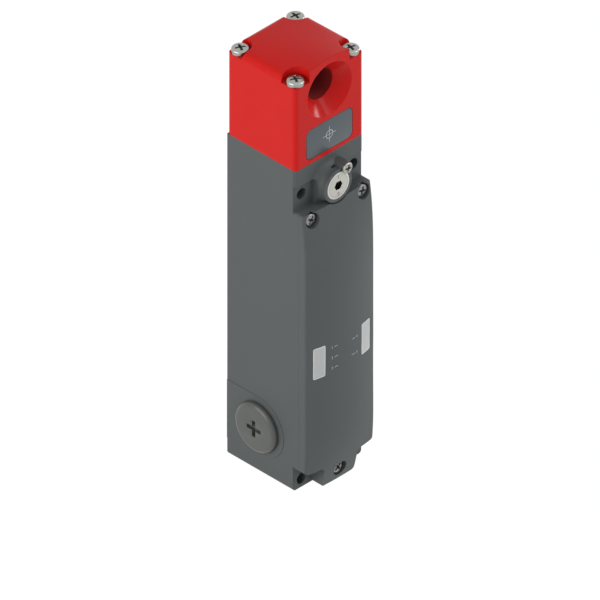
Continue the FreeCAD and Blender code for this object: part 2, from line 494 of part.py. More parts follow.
def head_casting():
    body = Part.makeLoft([head_end(FRONT, HEAD_TOP_H, HEAD_ARCH_R),
                          head_end(0, HEAD_EAVE_H, HEAD_REAR_ARCH_R)], True, True)
    body = body.common(prism("XY", rectangle((-HALF, HALF), (FRONT, 0), CORNER_R), DECK_H, HEAD_TOP_H + 1))
    side = [(FRONT, DECK_H), (0, DECK_H), (0, HEAD_EAVE_H, HEAD_EDGE_R),
            (FRONT, HEAD_TOP_H + (HEAD_TOP_H - HEAD_EAVE_H) * 0.1)]
    body = body.common(prism("YZ", side, -HALF, HALF))
    cuts, middle = [], -BODY_D / 2
    for x, y in head_screw_places():
        cuts.append(bar("Z", math.copysign(NOTCH_AT, x), math.copysign(NOTCH_AT, y - middle) + middle,
                        NOTCH_FLOOR_H, HEAD_TOP_H + 1, NOTCH_R))
        cuts.append(bar("Z", x, y, DECK_H - 1, NOTCH_FLOOR_H + 1, HEAD_SCREW_HOLE_R))
    throat = FRONT + MOUTH_R - BORE_R
    cuts.append(turned("Y", 0, BORE_H, [(0, FRONT - 1), (MOUTH_R + 1, FRONT - 1), (BORE_R, throat),
                                        (BORE_R, -BORE_END), (CHAMBER_R, -BORE_END),
                                        (CHAMBER_R, -HEAD_BACK_WALL), (0, -HEAD_BACK_WALL)]))
    snap = -BORE_END + SNAP_FROM_SHOULDER
    cuts.append(bar("Y", 0, BORE_H, snap - RUN_FIT, snap + SNAP_T + RUN_FIT,
                    CHAMBER_R + SNAP_GROOVE + RUN_FIT))
    cuts.append(prism("XZ", window_outline(WINDOW_GAP), FRONT - 1, FRONT + WINDOW_T))
    depth = WINDOW_T + ANTENNA_ROOM + ANTENNA_COIL_T + ANTENNA_BOARD_T
    cuts.append(prism("XZ", window_outline(WINDOW_GAP - WINDOW_LEDGE), FRONT, FRONT + depth))
    cuts.append(bar("Z", 0, -ROD_Y, DECK_H - 1, bush_top(), BUSH_R + RUN_FIT))
    cuts.append(bar("Z", 0, -ROD_Y, BUSH_LOW_H, BORE_H, BOLT_R + RUN_FIT))
    return body.cut(cuts)


def head_screws():
    return [pan_screw("Z", x, y, NOTCH_FLOOR_H, 1, HEAD_SCREW_HEAD_R, HEAD_SCREW_HEAD_L,
                      HEAD_SCREW_R, HEAD_SCREW_L) for x, y in head_screw_places()]


def head_gasket():
    return ring("Z", 0, -ROD_Y, DECK_H - HEAD_GASKET_T, DECK_H,
                HEAD_GASKET_R + HEAD_GASKET_W / 2, HEAD_GASKET_R - HEAD_GASKET_W / 2)


def antenna_window():
    return prism("XZ", window_outline(0), FRONT, FRONT + WINDOW_T)


def antenna_board():
    back = FRONT + WINDOW_T + ANTENNA_ROOM + ANTENNA_COIL_T + ANTENNA_BOARD_T
    return prism("XZ", window_outline(WINDOW_GAP - WINDOW_LEDGE - SEAT_GAP), back, back - ANTENNA_BOARD_T)


def antenna_coil():
    back = FRONT + WINDOW_T + ANTENNA_ROOM + ANTENNA_COIL_T
    outer = prism("XZ", window_outline(-WINDOW_LEDGE - 1), back, back - ANTENNA_COIL_T)
    inner = prism("XZ", window_outline(-WINDOW_LEDGE - 1 - ANTENNA_COIL_W), back, back - ANTENNA_COIL_T)
    return outer.cut(inner)


# ---------------------------------------------------------------- actuator follower
def snap_start():
    return -BORE_END + SNAP_FROM_SHOULDER


def follower_front():
    return snap_start() + SNAP_T + RUN_FIT


def actuator_follower():
    front = follower_front()
    back = front + FOLLOWER_T
    return turned("Y", 0, BORE_H, [(0, front), (CHAMBER_R - 0.08, front, 0.4), (CHAMBER_R - 0.08, back),
                                   (FOLLOWER_HUB_R, back), (FOLLOWER_HUB_R, back + FOLLOWER_HUB_L),
                                   (0, back + FOLLOWER_HUB_L)])


def follower_ring():
    outer = CHAMBER_R + SNAP_GROOVE
    body = ring("Y", 0, BORE_H, snap_start(), snap_start() + SNAP_T, outer, outer - SNAP_W)
    return body.cut(block((-1.5, 1.5), (snap_start() - 1, snap_start() + SNAP_T + 1),
                          (BORE_H, BORE_H + outer + 1)))


def follower_spring():
    start = follower_front() + FOLLOWER_T
    return coil_spring("Y", 0, BORE_H, start + 0.05, -HEAD_BACK_WALL - 0.05,
                       FOLLOWER_SPRING_R, FOLLOWER_SPRING_WIRE, FOLLOWER_SPRING_TURNS)


# ---------------------------------------------------------------- lock
def bore_floor():
    return BORE_H - BORE_R


def bush_top():
    return bore_floor() - BUSH_BELOW_BORE


def bolt_guide_bush():
    return ring("Z", 0, -ROD_Y, BUSH_LOW_H, bush_top(), BUSH_R, BOLT_R + RUN_FIT)


def lock_bolt():
    top = bore_floor() - BOLT_BELOW_BORE
    body = turned("Z", 0, -ROD_Y, [(0, BOLT_BASE_H), (BOLT_R, BOLT_BASE_H), (BOLT_R, top, 0.8), (0, top)])
    return body.cut(bar("Z", 0, -ROD_Y, BOLT_BASE_H - 1, BOLT_BASE_H + SPIGOT_L + 0.3, SPIGOT_R + RUN_FIT))


def crank_low():
    """Height of the crank pin's centre at rest."""
    return RELEASE_H - CRANK


def lock_rod():
    """Rod from the armature to the bolt, with the slotted block that the crank pin drives."""
    rod = turned("Z", 0, -ROD_Y, [
        (0, ARMATURE_TOP_H - SPIGOT_L), (SPIGOT_R, ARMATURE_TOP_H - SPIGOT_L), (SPIGOT_R, ARMATURE_TOP_H),
        (ROD_R, ARMATURE_TOP_H), (ROD_R, BLOCK_LOW_H + 1), (ROD_TOP_R, BLOCK_LOW_H + 1),
        (ROD_TOP_R, BOLT_BASE_H), (SPIGOT_R, BOLT_BASE_H), (SPIGOT_R, BOLT_BASE_H + SPIGOT_L),
        (0, BOLT_BASE_H + SPIGOT_L)])
    carrier = prism("XZ", rectangle((-BLOCK_X, BLOCK_X), (BLOCK_LOW_H, BLOCK_TOP_H), 1.0),
                    -BLOCK_BACK, -BLOCK_FRONT)
    reach_x, reach_h = CRANK + CRANK_PIN_R + 0.4, CRANK_PIN_R + SLOT_PLAY
    slot = prism("XZ", rectangle((-reach_x, reach_x), (crank_low() - reach_h, crank_low() + reach_h), 1.2),
                 -BLOCK_BACK - YOKE_WEB, -BLOCK_FRONT - 1)
    return fuse(rod, carrier).cut(slot)


def lock_spring():
    return coil_spring("Z", 0, -ROD_Y, BLOCK_TOP_H + 0.05, WELL_TOP_H - 0.05,
                       LOCK_SPRING_R, LOCK_SPRING_WIRE, LOCK_SPRING_TURNS)


def armature():
    body = turned("Z", 0, -ROD_Y, [(0, ARMATURE_LOW_H), (ARMATURE_R, ARMATURE_LOW_H),
                                   (ARMATURE_R, ARMATURE_TOP_H), (0, ARMATURE_TOP_H)])
    holes = [bar("Z", 0, -ROD_Y, ARMATURE_TOP_H - SPIGOT_L - 0.3, ARMATURE_TOP_H + 1, SPIGOT_R + RUN_FIT),
             bar("Z", 0, -ROD_Y, ARMATURE_LOW_H - 1, ARMATURE_LOW_H + SPIGOT_L + 0.3,
                 CARRIER_PIN_R + RUN_FIT)]
    return body.cut(holes)


# ---------------------------------------------------------------- solenoid
def frame_screw_places():
    """Ears above and below the solenoid frame."""
    low, top = COIL_LOW_H - FRAME_T - FRAME_EAR / 2, COIL_TOP_H + FRAME_T + FRAME_EAR / 2
    return [(x, h) for x in (-FRAME_SCREW_X, FRAME_SCREW_X) for h in (low, top)]


def solenoid_frame():
    low, top = COIL_LOW_H - FRAME_T, COIL_TOP_H + FRAME_T
    side = [(-FRAME_BACK, low - FRAME_EAR), (-FRAME_BACK, top + FRAME_EAR),
            (-FRAME_BACK - FRAME_T, top + FRAME_EAR), (-FRAME_BACK - FRAME_T, top, FRAME_BEND_R), (-FRAME_FRONT, top),
            (-FRAME_FRONT, COIL_TOP_H), (-FRAME_BACK - FRAME_T, COIL_TOP_H),
            (-FRAME_BACK - FRAME_T, COIL_LOW_H), (-FRAME_FRONT, COIL_LOW_H), (-FRAME_FRONT, low),
            (-FRAME_BACK - FRAME_T, low, FRAME_BEND_R), (-FRAME_BACK - FRAME_T, low - FRAME_EAR)]
    body = prism("YZ", side, -FRAME_X, FRAME_X)
    cuts = [bar("Z", 0, -ROD_Y, low - 1, COIL_LOW_H + 1, ARMATURE_R + 0.1),
            bar("Z", 0, -ROD_Y, COIL_TOP_H - 1, top + 1, ARMATURE_R + RUN_FIT)]
    cuts += [bar("Y", x, h, -FRAME_BACK + 1, -FRAME_BACK - FRAME_T - 1, FRAME_SCREW_R + 0.2)
             for x, h in frame_screw_places()]
    return body.cut(cuts)


def solenoid_bobbin():
    low, top = COIL_LOW_H + RUN_FIT, COIL_TOP_H - RUN_FIT
    flange = COIL_R + 0.4
    return turned("Z", 0, -ROD_Y, [
        (BOBBIN_TUBE_R, low), (flange, low), (flange, low + BOBBIN_FLANGE_T),
        (COIL_CORE_R, low + BOBBIN_FLANGE_T), (COIL_CORE_R, top - BOBBIN_FLANGE_T),
        (flange, top - BOBBIN_FLANGE_T), (flange, top), (BOBBIN_TUBE_R, top)])


def solenoid_coil():
    inset = RUN_FIT + BOBBIN_FLANGE_T
    return ring("Z", 0, -ROD_Y, COIL_LOW_H + inset, COIL_TOP_H - inset, COIL_R, COIL_CORE_R)


def solenoid_pole():
    low = ARMATURE_TOP_H + LOCK_TRAVEL + POLE_GAP
    return ring("Z", 0, -ROD_Y, low, COIL_TOP_H + FRAME_T, ARMATURE_R, ROD_R + 0.1)


def solenoid_screws():
    seat = -FRAME_BACK - FRAME_T
    return [plain_screw("Y", x, h, seat, -1, FRAME_SCREW_HEAD_R, FRAME_SCREW_HEAD_L,
                      FRAME_SCREW_R, -seat - 1.5) for x, h in frame_screw_places()]


# ---------------------------------------------------------------- release
def release_disc():
    face = -RELEASE_BOSS_FACE
    disc = bar("Y", 0, RELEASE_H, face, face + RELEASE_DISC_T, RELEASE_DISC_R)
    reach = RELEASE_HEX / math.sqrt(3)
    corners = [(reach * math.cos(math.radians(a)), RELEASE_H + reach * math.sin(math.radians(a)))
               for a in range(0, 360, 60)]
    socket = prism("XZ", corners, face - 1, face + RELEASE_HEX_DEEP)
    pilot = bar("Y", 0, RELEASE_H, face + RELEASE_HEX_DEEP, face + RELEASE_DISC_T + 1, SPIGOT_R + RUN_FIT)
    return disc.cut([socket, pilot])


def release_shaft():
    """Shaft behind the disc, with grooves for seal and clip and the crank pin at its end."""
    start = -RELEASE_BOSS_FACE + RELEASE_DISC_T
    seal, clip = -SEAL_AT, -WELL_FRONT + CLIP_GAP
    profile = [(0, start - RELEASE_DISC_T + RELEASE_HEX_DEEP + 0.1),
               (SPIGOT_R, start - RELEASE_DISC_T + RELEASE_HEX_DEEP + 0.1), (SPIGOT_R, start),
               (RELEASE_SHAFT_R, start), (RELEASE_SHAFT_R, seal), (RELEASE_SHAFT_R - SEAL_T, seal),
               (RELEASE_SHAFT_R - SEAL_T, seal + SEAL_W), (RELEASE_SHAFT_R, seal + SEAL_W),
               (RELEASE_SHAFT_R, clip), (RELEASE_SHAFT_R - CLIP_GROOVE, clip),
               (RELEASE_SHAFT_R - CLIP_GROOVE, clip + CLIP_T), (RELEASE_SHAFT_R, clip + CLIP_T),
               (RELEASE_SHAFT_R, -RELEASE_SHAFT_END), (0, -RELEASE_SHAFT_END)]
    shaft = turned("Y", 0, RELEASE_H, profile)
    pin = bar("Y", 0, crank_low(), -RELEASE_SHAFT_END - 0.3, -CRANK_PIN_END, CRANK_PIN_R)
    return fuse(shaft, pin)


def release_seal():
    return ring("Y", 0, RELEASE_H, -SEAL_AT, -SEAL_AT + SEAL_W, RELEASE_SHAFT_R, RELEASE_SHAFT_R - SEAL_T)


def release_clip():
    start = -WELL_FRONT + CLIP_GAP
    body = ring("Y", 0, RELEASE_H, start, start + CLIP_T, CLIP_R, RELEASE_SHAFT_R - CLIP_GROOVE + RUN_FIT)
    return body.cut(block((-1.6, 1.6), (start - 1, start + CLIP_T + 1), (RELEASE_H, RELEASE_H + CLIP_R + 1)))


def release_lock_screw():
    return pan_screw("Y", LOCK_SCREW_X, LOCK_SCREW_H, -RELEASE_BOSS_FACE - SEAT_GAP, -1,
                     LOCK_SCREW_HEAD_R, LOCK_SCREW_HEAD_L, LOCK_SCREW_R, LOCK_SCREW_L)


# ---------------------------------------------------------------- contacts
def contact_screw_places():
    inset = CONTACT_X - CONTACT_SCREW_X
    return [(x, h) for x in (-CONTACT_SCREW_X, CONTACT_SCREW_X)
            for h in (CONTACT_LOW_H + inset, CONTACT_TOP_H - inset)]


def contact_block():
    """Block with a slot in which the carrier of the moving contacts slides."""
    body = prism("XZ", rectangle((-CONTACT_X, CONTACT_X), (CONTACT_LOW_H, CONTACT_TOP_H), 1.0),
                 -WALL, -CONTACT_FRONT)
    room = CARRIER_ROOM
    slot = block((-CARRIER_X - room, CARRIER_X + room),
                 (-ROD_Y - CARRIER_Y - room, -ROD_Y + CARRIER_Y + room),
                 (CARRIER_LOW_H - room, CARRIER_TOP_H + LOCK_TRAVEL + room))
    shaft = bar("Z", 0, -ROD_Y, CARRIER_TOP_H, CONTACT_TOP_H + 1, CARRIER_HOLE_R)
    cuts = [slot, shaft]
    cuts += [bar("Y", x, h, -WALL + 1, -CONTACT_FRONT - 1, CONTACT_SCREW_HOLE_R)
             for x, h in contact_screw_places()]
    return body.cut(cuts)


def contact_carrier():
    """Push pin under the armature with the bar of the moving contacts."""
    pin = bar("Z", 0, -ROD_Y, CARRIER_TOP_H - 1, ARMATURE_LOW_H + SPIGOT_L, CARRIER_PIN_R)
    bridge = block((-CARRIER_X, CARRIER_X), (-ROD_Y - CARRIER_Y, -ROD_Y + CARRIER_Y),
                   (CARRIER_LOW_H, CARRIER_TOP_H))
    return fuse(pin, bridge)


def contact_screws():
    return [plain_screw("Y", x, h, -CONTACT_FRONT, -1, FRAME_SCREW_HEAD_R * 0.9, FRAME_SCREW_HEAD_L,
                      FRAME_SCREW_R, CONTACT_FRONT - 1.2) for x, h in contact_screw_places()]


# ---------------------------------------------------------------- board, lamps, terminals
def board_front():
    return -BOARD_BACK - BOARD_T


def main_board():
    board = prism("XZ", rectangle((-BOARD_X, BOARD_X), (BOARD_LOW_H, BOARD_TOP_H), BOARD_R),
                  -BOARD_BACK, board_front())
    holes = [bar("Y", x, h, -BOARD_BACK + 1, board_front() - 1, BOARD_SCREW_R + 0.15)
             for x in (-POST_X, POST_X) for h in (POST_LOW_H, POST_TOP_H)]
    return board.cut(holes)


def board_screws():
    return [plain_screw("Y", x, h, board_front(), -1, BOARD_SCREW_HEAD_R, BOARD_SCREW_HEAD_L,
                      BOARD_SCREW_R, BOARD_SCREW_L)
            for x in (-POST_X, POST_X) for h in (POST_LOW_H, POST_TOP_H)]


def led_window_prism(side, gap, start, end):
    return prism("XZ", rectangle((side * (LED_WINDOW_IN + gap), side * (LED_WINDOW_OUT - gap)),
                                 (LED_WINDOW_LOW + gap, LED_WINDOW_TOP - gap), LED_WINDOW_R), start, end)


def led_middle(side):
    return side * (LED_WINDOW_IN + LED_WINDOW_OUT) / 2, (LED_WINDOW_LOW + LED_WINDOW_TOP) / 2


def led_window(side):
    """Window that follows the front of the cover, with a light pipe back to its lamps."""
    pane = led_window_prism(side, LED_WINDOW_GAP, -COVER_SEAT, -COVER_CROWN).common(cover_form())
    x, h = led_middle(side)
    pipe = block((x - LED_PIPE_W / 2, x + LED_PIPE_W / 2),
                 (-COVER_SEAT - 1, board_front() - LED_T - LED_PIPE_GAP), (h - LED_PIPE_L / 2, h + LED_PIPE_L / 2))
    return fuse(pane, pipe)


def leds():
    lamps = []
    for side in (-1, 1):
        x, middle = led_middle(side)
        for h in (middle - LED_PIPE_L / 4, middle + LED_PIPE_L / 4):
            lamps.append(block((x - LED_W / 2, x + LED_W / 2), (board_front(), board_front() - LED_T),
                               (h - LED_L / 2, h + LED_L / 2)))
    return lamps


def terminal_places():
    pitch = 2 * TERMINAL_X / TERMINAL_WAYS
    return [-TERMINAL_X + pitch * (i + 0.5) for i in range(TERMINAL_WAYS)]


def terminal_block():
    top = TERMINAL_LOW_H + TERMINAL_D
    front = board_front() - TERMINAL_T
    body = block((-TERMINAL_X, TERMINAL_X), (board_front(), front), (TERMINAL_LOW_H, top))
    cuts = []
    for x in terminal_places():
        cuts.append(bar("Y", x, top - TERMINAL_SCREW_DROP, front - 1, front + TERMINAL_SCREW_L + 0.2,
                        TERMINAL_SCREW_R + RUN_FIT))
        cuts.append(bar("Z", x, front + TERMINAL_WIRE_DEEP, TERMINAL_LOW_H - 1, top - 1.6, TERMINAL_WIRE_R))
    return body.cut(cuts)


def terminal_screws():
    h = TERMINAL_LOW_H + TERMINAL_D - TERMINAL_SCREW_DROP
    front = board_front() - TERMINAL_T
    screws = []
    for x in terminal_places():
        screw = bar("Y", x, h, front + 0.4, front + TERMINAL_SCREW_L, TERMINAL_SCREW_R)
        slot = block((x - 0.15, x + 0.15), (front, front + 0.9), (h - 1.5, h + 1.5))
        screws.append(screw.cut(slot))
    return screws


def earth_screw():
    return plain_screw("Y", EARTH_X, EARTH_H, -WALL - EARTH_BOSS_L, -1, EARTH_HEAD_R, EARTH_HEAD_L,
                     EARTH_R, EARTH_L)


# ---------------------------------------------------------------- pieces, one file each
def pieces():
    made = {
        "housing": housing(), "cover": cover(), "cover_gasket": cover_gasket(),
        "cover_screws": cover_screws(), "head_casting": head_casting(), "head_screws": head_screws(),
        "head_gasket": head_gasket(), "antenna_window": antenna_window(),
        "antenna_coil": antenna_coil(), "antenna_board": antenna_board(),
        "bolt_guide_bush": bolt_guide_bush(), "lock_bolt": lock_bolt(), "lock_rod": lock_rod(),
        "lock_spring": lock_spring(), "armature": armature(), "solenoid_frame": solenoid_frame(),
        "solenoid_bobbin": solenoid_bobbin(), "solenoid_coil": solenoid_coil(),
        "solenoid_pole": solenoid_pole(), "solenoid_screws": solenoid_screws(),
        "actuator_follower": actuator_follower(), "follower_ring": follower_ring(),
        "follower_spring": follower_spring(), "release_disc": release_disc(),
        "release_shaft": release_shaft(), "release_seal": release_seal(),
        "release_clip": release_clip(), "release_lock_screw": release_lock_screw(),
        "contact_block": contact_block(), "contact_carrier": contact_carrier(),
        "contact_screws": contact_screws(), "main_board": main_board(), "board_screws": board_screws(),
        "led_window_left": led_window(-1), "led_window_right": led_window(1), "leds": leds(),
        "terminal_block": terminal_block(), "terminal_screws": terminal_screws(),
        "earth_screw": earth_screw(), "plug_seals": plug_seals(),
    }
    made.update({name: plug(*where) for name, where in plug_places().items()})
    return made


def solids_of(shape):
    """Solids of one piece or of a list of like pieces, each the right way out."""
    found = []
    for item in shape if isinstance(shape, list) else [shape]:
        for solid in item.Solids:
            if solid.Volume < 0:
                solid = solid.reversed()
            found.append(solid)
    return found


def export():
    os.makedirs("parts", exist_ok=True)
    for name, shape in pieces().items():
        solids = solids_of(shape)
        whole = solids[0] if len(solids) == 1 else Part.makeCompound(solids)
        whole.translate(Vector(0, 0, -ORIGIN_H))
        whole.exportStep(f"parts/{name}.step")
        box = whole.BoundBox
        print(f"{name:20s} solids {len(solids):2d} valid {whole.isValid()} volume {whole.Volume:9.1f} "
              f"x {box.XMin:6.1f} {box.XMax:6.1f} y {box.YMin:6.1f} {box.YMax:6.1f} "
              f"z {box.ZMin:7.1f} {box.ZMax:7.1f}")


export()
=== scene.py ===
"""Finishes, marks, fasteners, springs and stage of the tongue interlock switch, around its frame."""
import functools
import json
import math
from collections import namedtuple

import bmesh
import bpy
import numpy as np
from bpy.props import FloatProperty, FloatVectorProperty, PointerProperty
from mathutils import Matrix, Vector

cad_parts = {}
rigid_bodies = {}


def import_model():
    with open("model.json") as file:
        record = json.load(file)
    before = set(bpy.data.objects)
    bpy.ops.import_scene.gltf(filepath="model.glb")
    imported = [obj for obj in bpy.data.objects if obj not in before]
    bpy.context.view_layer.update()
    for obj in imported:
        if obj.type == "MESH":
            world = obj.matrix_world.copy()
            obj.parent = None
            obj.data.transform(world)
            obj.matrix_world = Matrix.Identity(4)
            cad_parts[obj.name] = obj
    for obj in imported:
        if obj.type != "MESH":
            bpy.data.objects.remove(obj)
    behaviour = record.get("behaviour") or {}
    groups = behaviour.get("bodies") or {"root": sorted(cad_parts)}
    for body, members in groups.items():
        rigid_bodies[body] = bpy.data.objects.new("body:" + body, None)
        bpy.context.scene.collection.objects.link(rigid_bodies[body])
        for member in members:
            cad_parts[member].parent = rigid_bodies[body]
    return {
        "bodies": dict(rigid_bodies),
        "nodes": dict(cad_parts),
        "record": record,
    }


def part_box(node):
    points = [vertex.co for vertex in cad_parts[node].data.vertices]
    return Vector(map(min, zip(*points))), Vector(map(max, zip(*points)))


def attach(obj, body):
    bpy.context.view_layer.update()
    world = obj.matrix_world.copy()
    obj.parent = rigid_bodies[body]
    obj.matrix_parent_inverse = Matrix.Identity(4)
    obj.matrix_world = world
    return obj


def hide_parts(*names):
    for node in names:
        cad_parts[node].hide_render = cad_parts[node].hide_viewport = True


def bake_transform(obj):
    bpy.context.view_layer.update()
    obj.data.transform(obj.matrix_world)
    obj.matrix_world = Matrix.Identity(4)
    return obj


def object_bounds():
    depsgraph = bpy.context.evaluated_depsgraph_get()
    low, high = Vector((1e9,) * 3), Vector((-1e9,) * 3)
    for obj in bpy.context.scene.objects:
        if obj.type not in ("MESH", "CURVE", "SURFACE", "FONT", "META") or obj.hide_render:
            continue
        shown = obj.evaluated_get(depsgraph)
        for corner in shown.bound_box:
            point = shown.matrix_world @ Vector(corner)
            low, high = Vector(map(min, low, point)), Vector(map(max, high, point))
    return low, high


bl_info = {
    "name": "Tongue interlock switch",
    "version": (1, 0, 0),
    "blender": (4, 5, 0),
    "location": "View3D > Sidebar > Interlock",
    "description": "Dresses the frame of a solenoid-locked guard door switch",
    "category": "Object",
}

MM = 0.001

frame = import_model()
CAD_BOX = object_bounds()
BOX = {name: tuple(np.array(corner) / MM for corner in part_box(name)) for name in frame["nodes"]}


# ------------------------------------------------------------- places worked out from the frame, in mm
def middle(name):
    """Centre of a CAD node's box."""
    low, high = BOX[name]
    return (low + high) / 2


def span(name):
    """Size of a CAD node's box along each axis."""
    low, high = BOX[name]
    return high - low


DISC = middle("release_disc")
DISC_FACE = BOX["release_disc"][0][1]
COVER_CROWN = BOX["cover"][0][1]
COVER_R = 65.0
BORE = next(mount for mount in frame["record"]["mounts"] if mount["name"] == "actuator_bore")
BORE_Z, BORE_R = BORE["pos_m"][2] / MM, BORE["dims"]["r_mm"]
BORE_FRONT = BORE["pos_m"][1] / MM - BORE["dims"]["length_mm"] / 2
BORE_END = BORE_FRONT + BORE["dims"]["length_mm"]
# the bore's painted shade, a darker red for the shade deep in it, reaches this far past its wall and
# begins this far behind its mouth
BORE_SHADE_MARGIN, BORE_SHADE_START = 0.3, 0.2

SCRATCH_STRETCH, SCRATCH_SCALE = 9.0, 900.0     # fine scratches of bright metal

# turned face of the release disc: pitch of its rings, bright rim, fine line, and the socket, whose
# walls take painted shade
RING_PITCH, RIM_R, LINE_R, LINE_HALF, SOCKET_R, SOCKET_START = 0.16, 5.55, 5.35, 0.16, 2.4, 0.12

# heads of the screws; the lowest cover screw stands COVER_SCREW_STEP in front of the others
HEAD_SCREW_R, HEAD_SCREW_L, HEAD_SHANK_R = 3.85, 2.4, 2.0
COVER_SCREW_R, COVER_SCREW_L, COVER_SHANK_R, COVER_SHANK_L = 2.9, 1.6, 1.5, 11.0
COVER_SCREW_STEP = 0.6
LOCK_SCREW_L, LOCK_SHANK_R = 1.7, 1.25
SMALL_CROWN, SMALL_SHOULDER = 0.25, 0.5
Cross = namedtuple("Cross", "reach width depth wall")
HEAD_CROSS = Cross(4.6, 0.9, 1.2, 0.18)
COVER_CROSS = Cross(3.7, 0.8, 0.9, 0.15)
LOCK_CROSS = Cross(3.3, 0.75, 0.9, 0.15)
# a turned profile ends FINE off its axis; its seat's edge is SEAT_LIFT high and SEAT_STEP wide, and
# its tip is bevelled by TIP; SCREW_STEPS is the steps round it
FINE, SEAT_LIFT, SEAT_STEP, TIP, SCREW_STEPS = 0.02, 0.02, 0.05, 0.4, 96

# edges of a merged copy: points merged, in metres, and the angles of a flat and of a sharp edge
MERGE, FLAT_EDGE, SHARP_EDGE = 1e-6, math.radians(0.3), math.radians(25.0)

# springs: name, node, axis it lies along, wire, turns and the body that presses it
SPRINGS = (("lock_spring_coil", "lock_spring", 2, 0.9, 2.6, "lock"),
           ("follower_spring_coil", "follower_spring", 1, 0.6, 3.4, "follower"))
COIL_STEPS, COIL_SIDES = 36, 14     # steps in a turn and round the wire

# marks: a figure's thickness and type size for its height, the width of the target's cross for its
# ring's, how far a band reaches below its surface, and the disc's figures, which stand DIGIT_PROUD
# of its face and DIGIT_OUT from its middle
FIGURE_T, TYPE_SIZE, CROSS_SHARE, TARGET_SUNK, DASH_SUNK = 0.06, 1.4, 0.8, 0.05, 0.1
DIGIT_PROUD, DIGIT_OUT = 0.02, 4.2

# numbers and ticks beside the lamps: lamps of each window, and distances from the middle plane
LAMP_ROWS = ((-1, 3), (1, 2))
LABEL_X, DASH_X, DASH_W = 7.2, (4.0, 6.0), 0.22

# stage, in metres: what the lamps and the camera face, how far off they stand, and the floor
STAGE_CENTRE = Vector((1.35, -21.35, 1.35)) * MM
LAMP_DISTANCE, CAMERA_DISTANCE, FLOOR_SIDE, FLOOR_STEPS = 0.8, 1.0, 6.0, 25
FLOOR_COLOUR, FLOOR_GLOW, FLOOR_SHARE = (0.86, 0.86, 0.86, 1), 1.04, 0.95
WHITE, COOL = (1.0, 1.0, 1.0), (0.87, 0.95, 1.0)


# ---------------------------------------------------------------- settings
def colour(label, about, rgb):
    """A colour setting."""
    return FloatVectorProperty(name=label, description=about, default=rgb, size=3, min=0, max=1,
                               subtype="COLOR")


def length(label, about, mm):
    """A length setting, whose default is given in mm."""
    return FloatProperty(name=label, description=about, default=mm * MM, min=0, subtype="DISTANCE",
                         unit="LENGTH", precision=5)


class SwitchPaints(bpy.types.PropertyGroup):
    """Colours of the painted and moulded surfaces."""
    body: colour("Body paint", "Grey powder coat of housing and cover", (0.080, 0.088, 0.087))
    head: colour("Head paint", "Red gloss paint of the head", (0.56, 0.010, 0.008))
    plug: colour("Plug plastic", "Moulded cable entry plugs", (0.067, 0.071, 0.066))
    pane: colour("Antenna pane", "Grey window of the head", (0.060, 0.078, 0.086))
    lens: colour("Lamp lens", "Pale translucent lens of the lamps", (0.46, 0.468, 0.458))
    print_ink: colour("Print", "Pale printed marks", (0.42, 0.45, 0.45))
    grain: length("Coat grain", "Width of one grain of the powder coat", 0.35)


class SwitchMarks(bpy.types.PropertyGroup):
    """Sizes of the marks and of the small edge rounds."""
    target_radius: length("Target ring", "Radius of the ring on the antenna pane", 1.95)
    target_reach: length("Target cross", "Half-length of the lines through the ring", 3.9)
    line_width: length("Line width", "Width of the printed target lines", 0.34)
    digit_height: length("Digit height", "Height of the numbers on the release disc", 1.7)
    label_height: length("Label height", "Height of the numbers beside the lamps", 1.3)
    raise_by: length("Print height", "How far a printed mark stands off its surface", 0.03)
    edge: length("Edge round", "Round on the edges of the painted castings", 0.40)
    fine_edge: length("Fine edge round", "Round on the edges of small pieces", 0.10)


class SwitchStage(bpy.types.PropertyGroup):
    """Floor, lamps and camera."""
    azimuth: FloatProperty(name="Azimuth", description="Turn of the camera about the switch",
                           default=math.radians(-45.0), subtype="ANGLE")
    elevation: FloatProperty(name="Elevation", description="Height of the camera above the switch",
                             default=math.radians(35.264), subtype="ANGLE")
    view_width: FloatProperty(name="View width", description="Width of the parallel view",
                              default=0.24896, min=0.01, subtype="DISTANCE", unit="LENGTH")
    left_power: FloatProperty(name="Left softbox", description="Power of the softbox on the left",
                              default=4.0, min=0, unit="POWER")
    front_power: FloatProperty(name="Front softbox", description="Power of the softbox in front",
                               default=1.65, min=0, unit="POWER")
    right_power: FloatProperty(name="Right strip", description="Power of the strip light on the right",
                               default=1.5, min=0, unit="POWER")
    top_power: FloatProperty(name="Top softbox", description="Power of the softbox above",
                             default=0.3, min=0, unit="POWER")
    ambient: FloatProperty(name="Ambient", description="Strength of the white surroundings",
                           default=0.5, min=0)


# ---------------------------------------------------------------- shader maths
MIX_FIRST, MIX_SECOND, MIX_RESULT = 6, 7, 2     # places of the colour sockets of a Mix node


def add_node(tree, kind, settings=None, inputs=None):
    """One node: its settings first, then a value or a wire for each input, by name or place."""
    node = tree.nodes.new(kind)
    for key, value in (settings or {}).items():
        setattr(node, key, value)
    for key, value in (inputs or {}).items():
        if isinstance(value, Wire):
            tree.links.new(value.socket, node.inputs[key])
        else:
            node.inputs[key].default_value = value
    return node


class Wire:
    """An output socket; an expression on it adds Math nodes."""

    def __init__(self, tree, socket):
        self.tree, self.socket = tree, socket

    def math(self, operation, *values):
        node = add_node(self.tree, "ShaderNodeMath", {"operation": operation}, dict(enumerate(values)))
        return Wire(self.tree, node.outputs[0])

    def __add__(self, other):
        return self.math("ADD", self, other)

    def __sub__(self, other):
        return self.math("SUBTRACT", self, other)

    def __rsub__(self, other):
        return self.math("SUBTRACT", other, self)

    def __mul__(self, other):
        return self.math("MULTIPLY", self, other)

    def __truediv__(self, other):
        return self.math("DIVIDE", self, other)

    def __pow__(self, other):
        return self.math("POWER", self, other)

    def __abs__(self):
        return self.math("ABSOLUTE", self)

    def __gt__(self, other):
        return self.math("GREATER_THAN", self, other)

    def sine(self):
        return self.math("SINE", self)

    def most(self, other):
        return self.math("MAXIMUM", self, other)

    __radd__, __rmul__ = __add__, __mul__


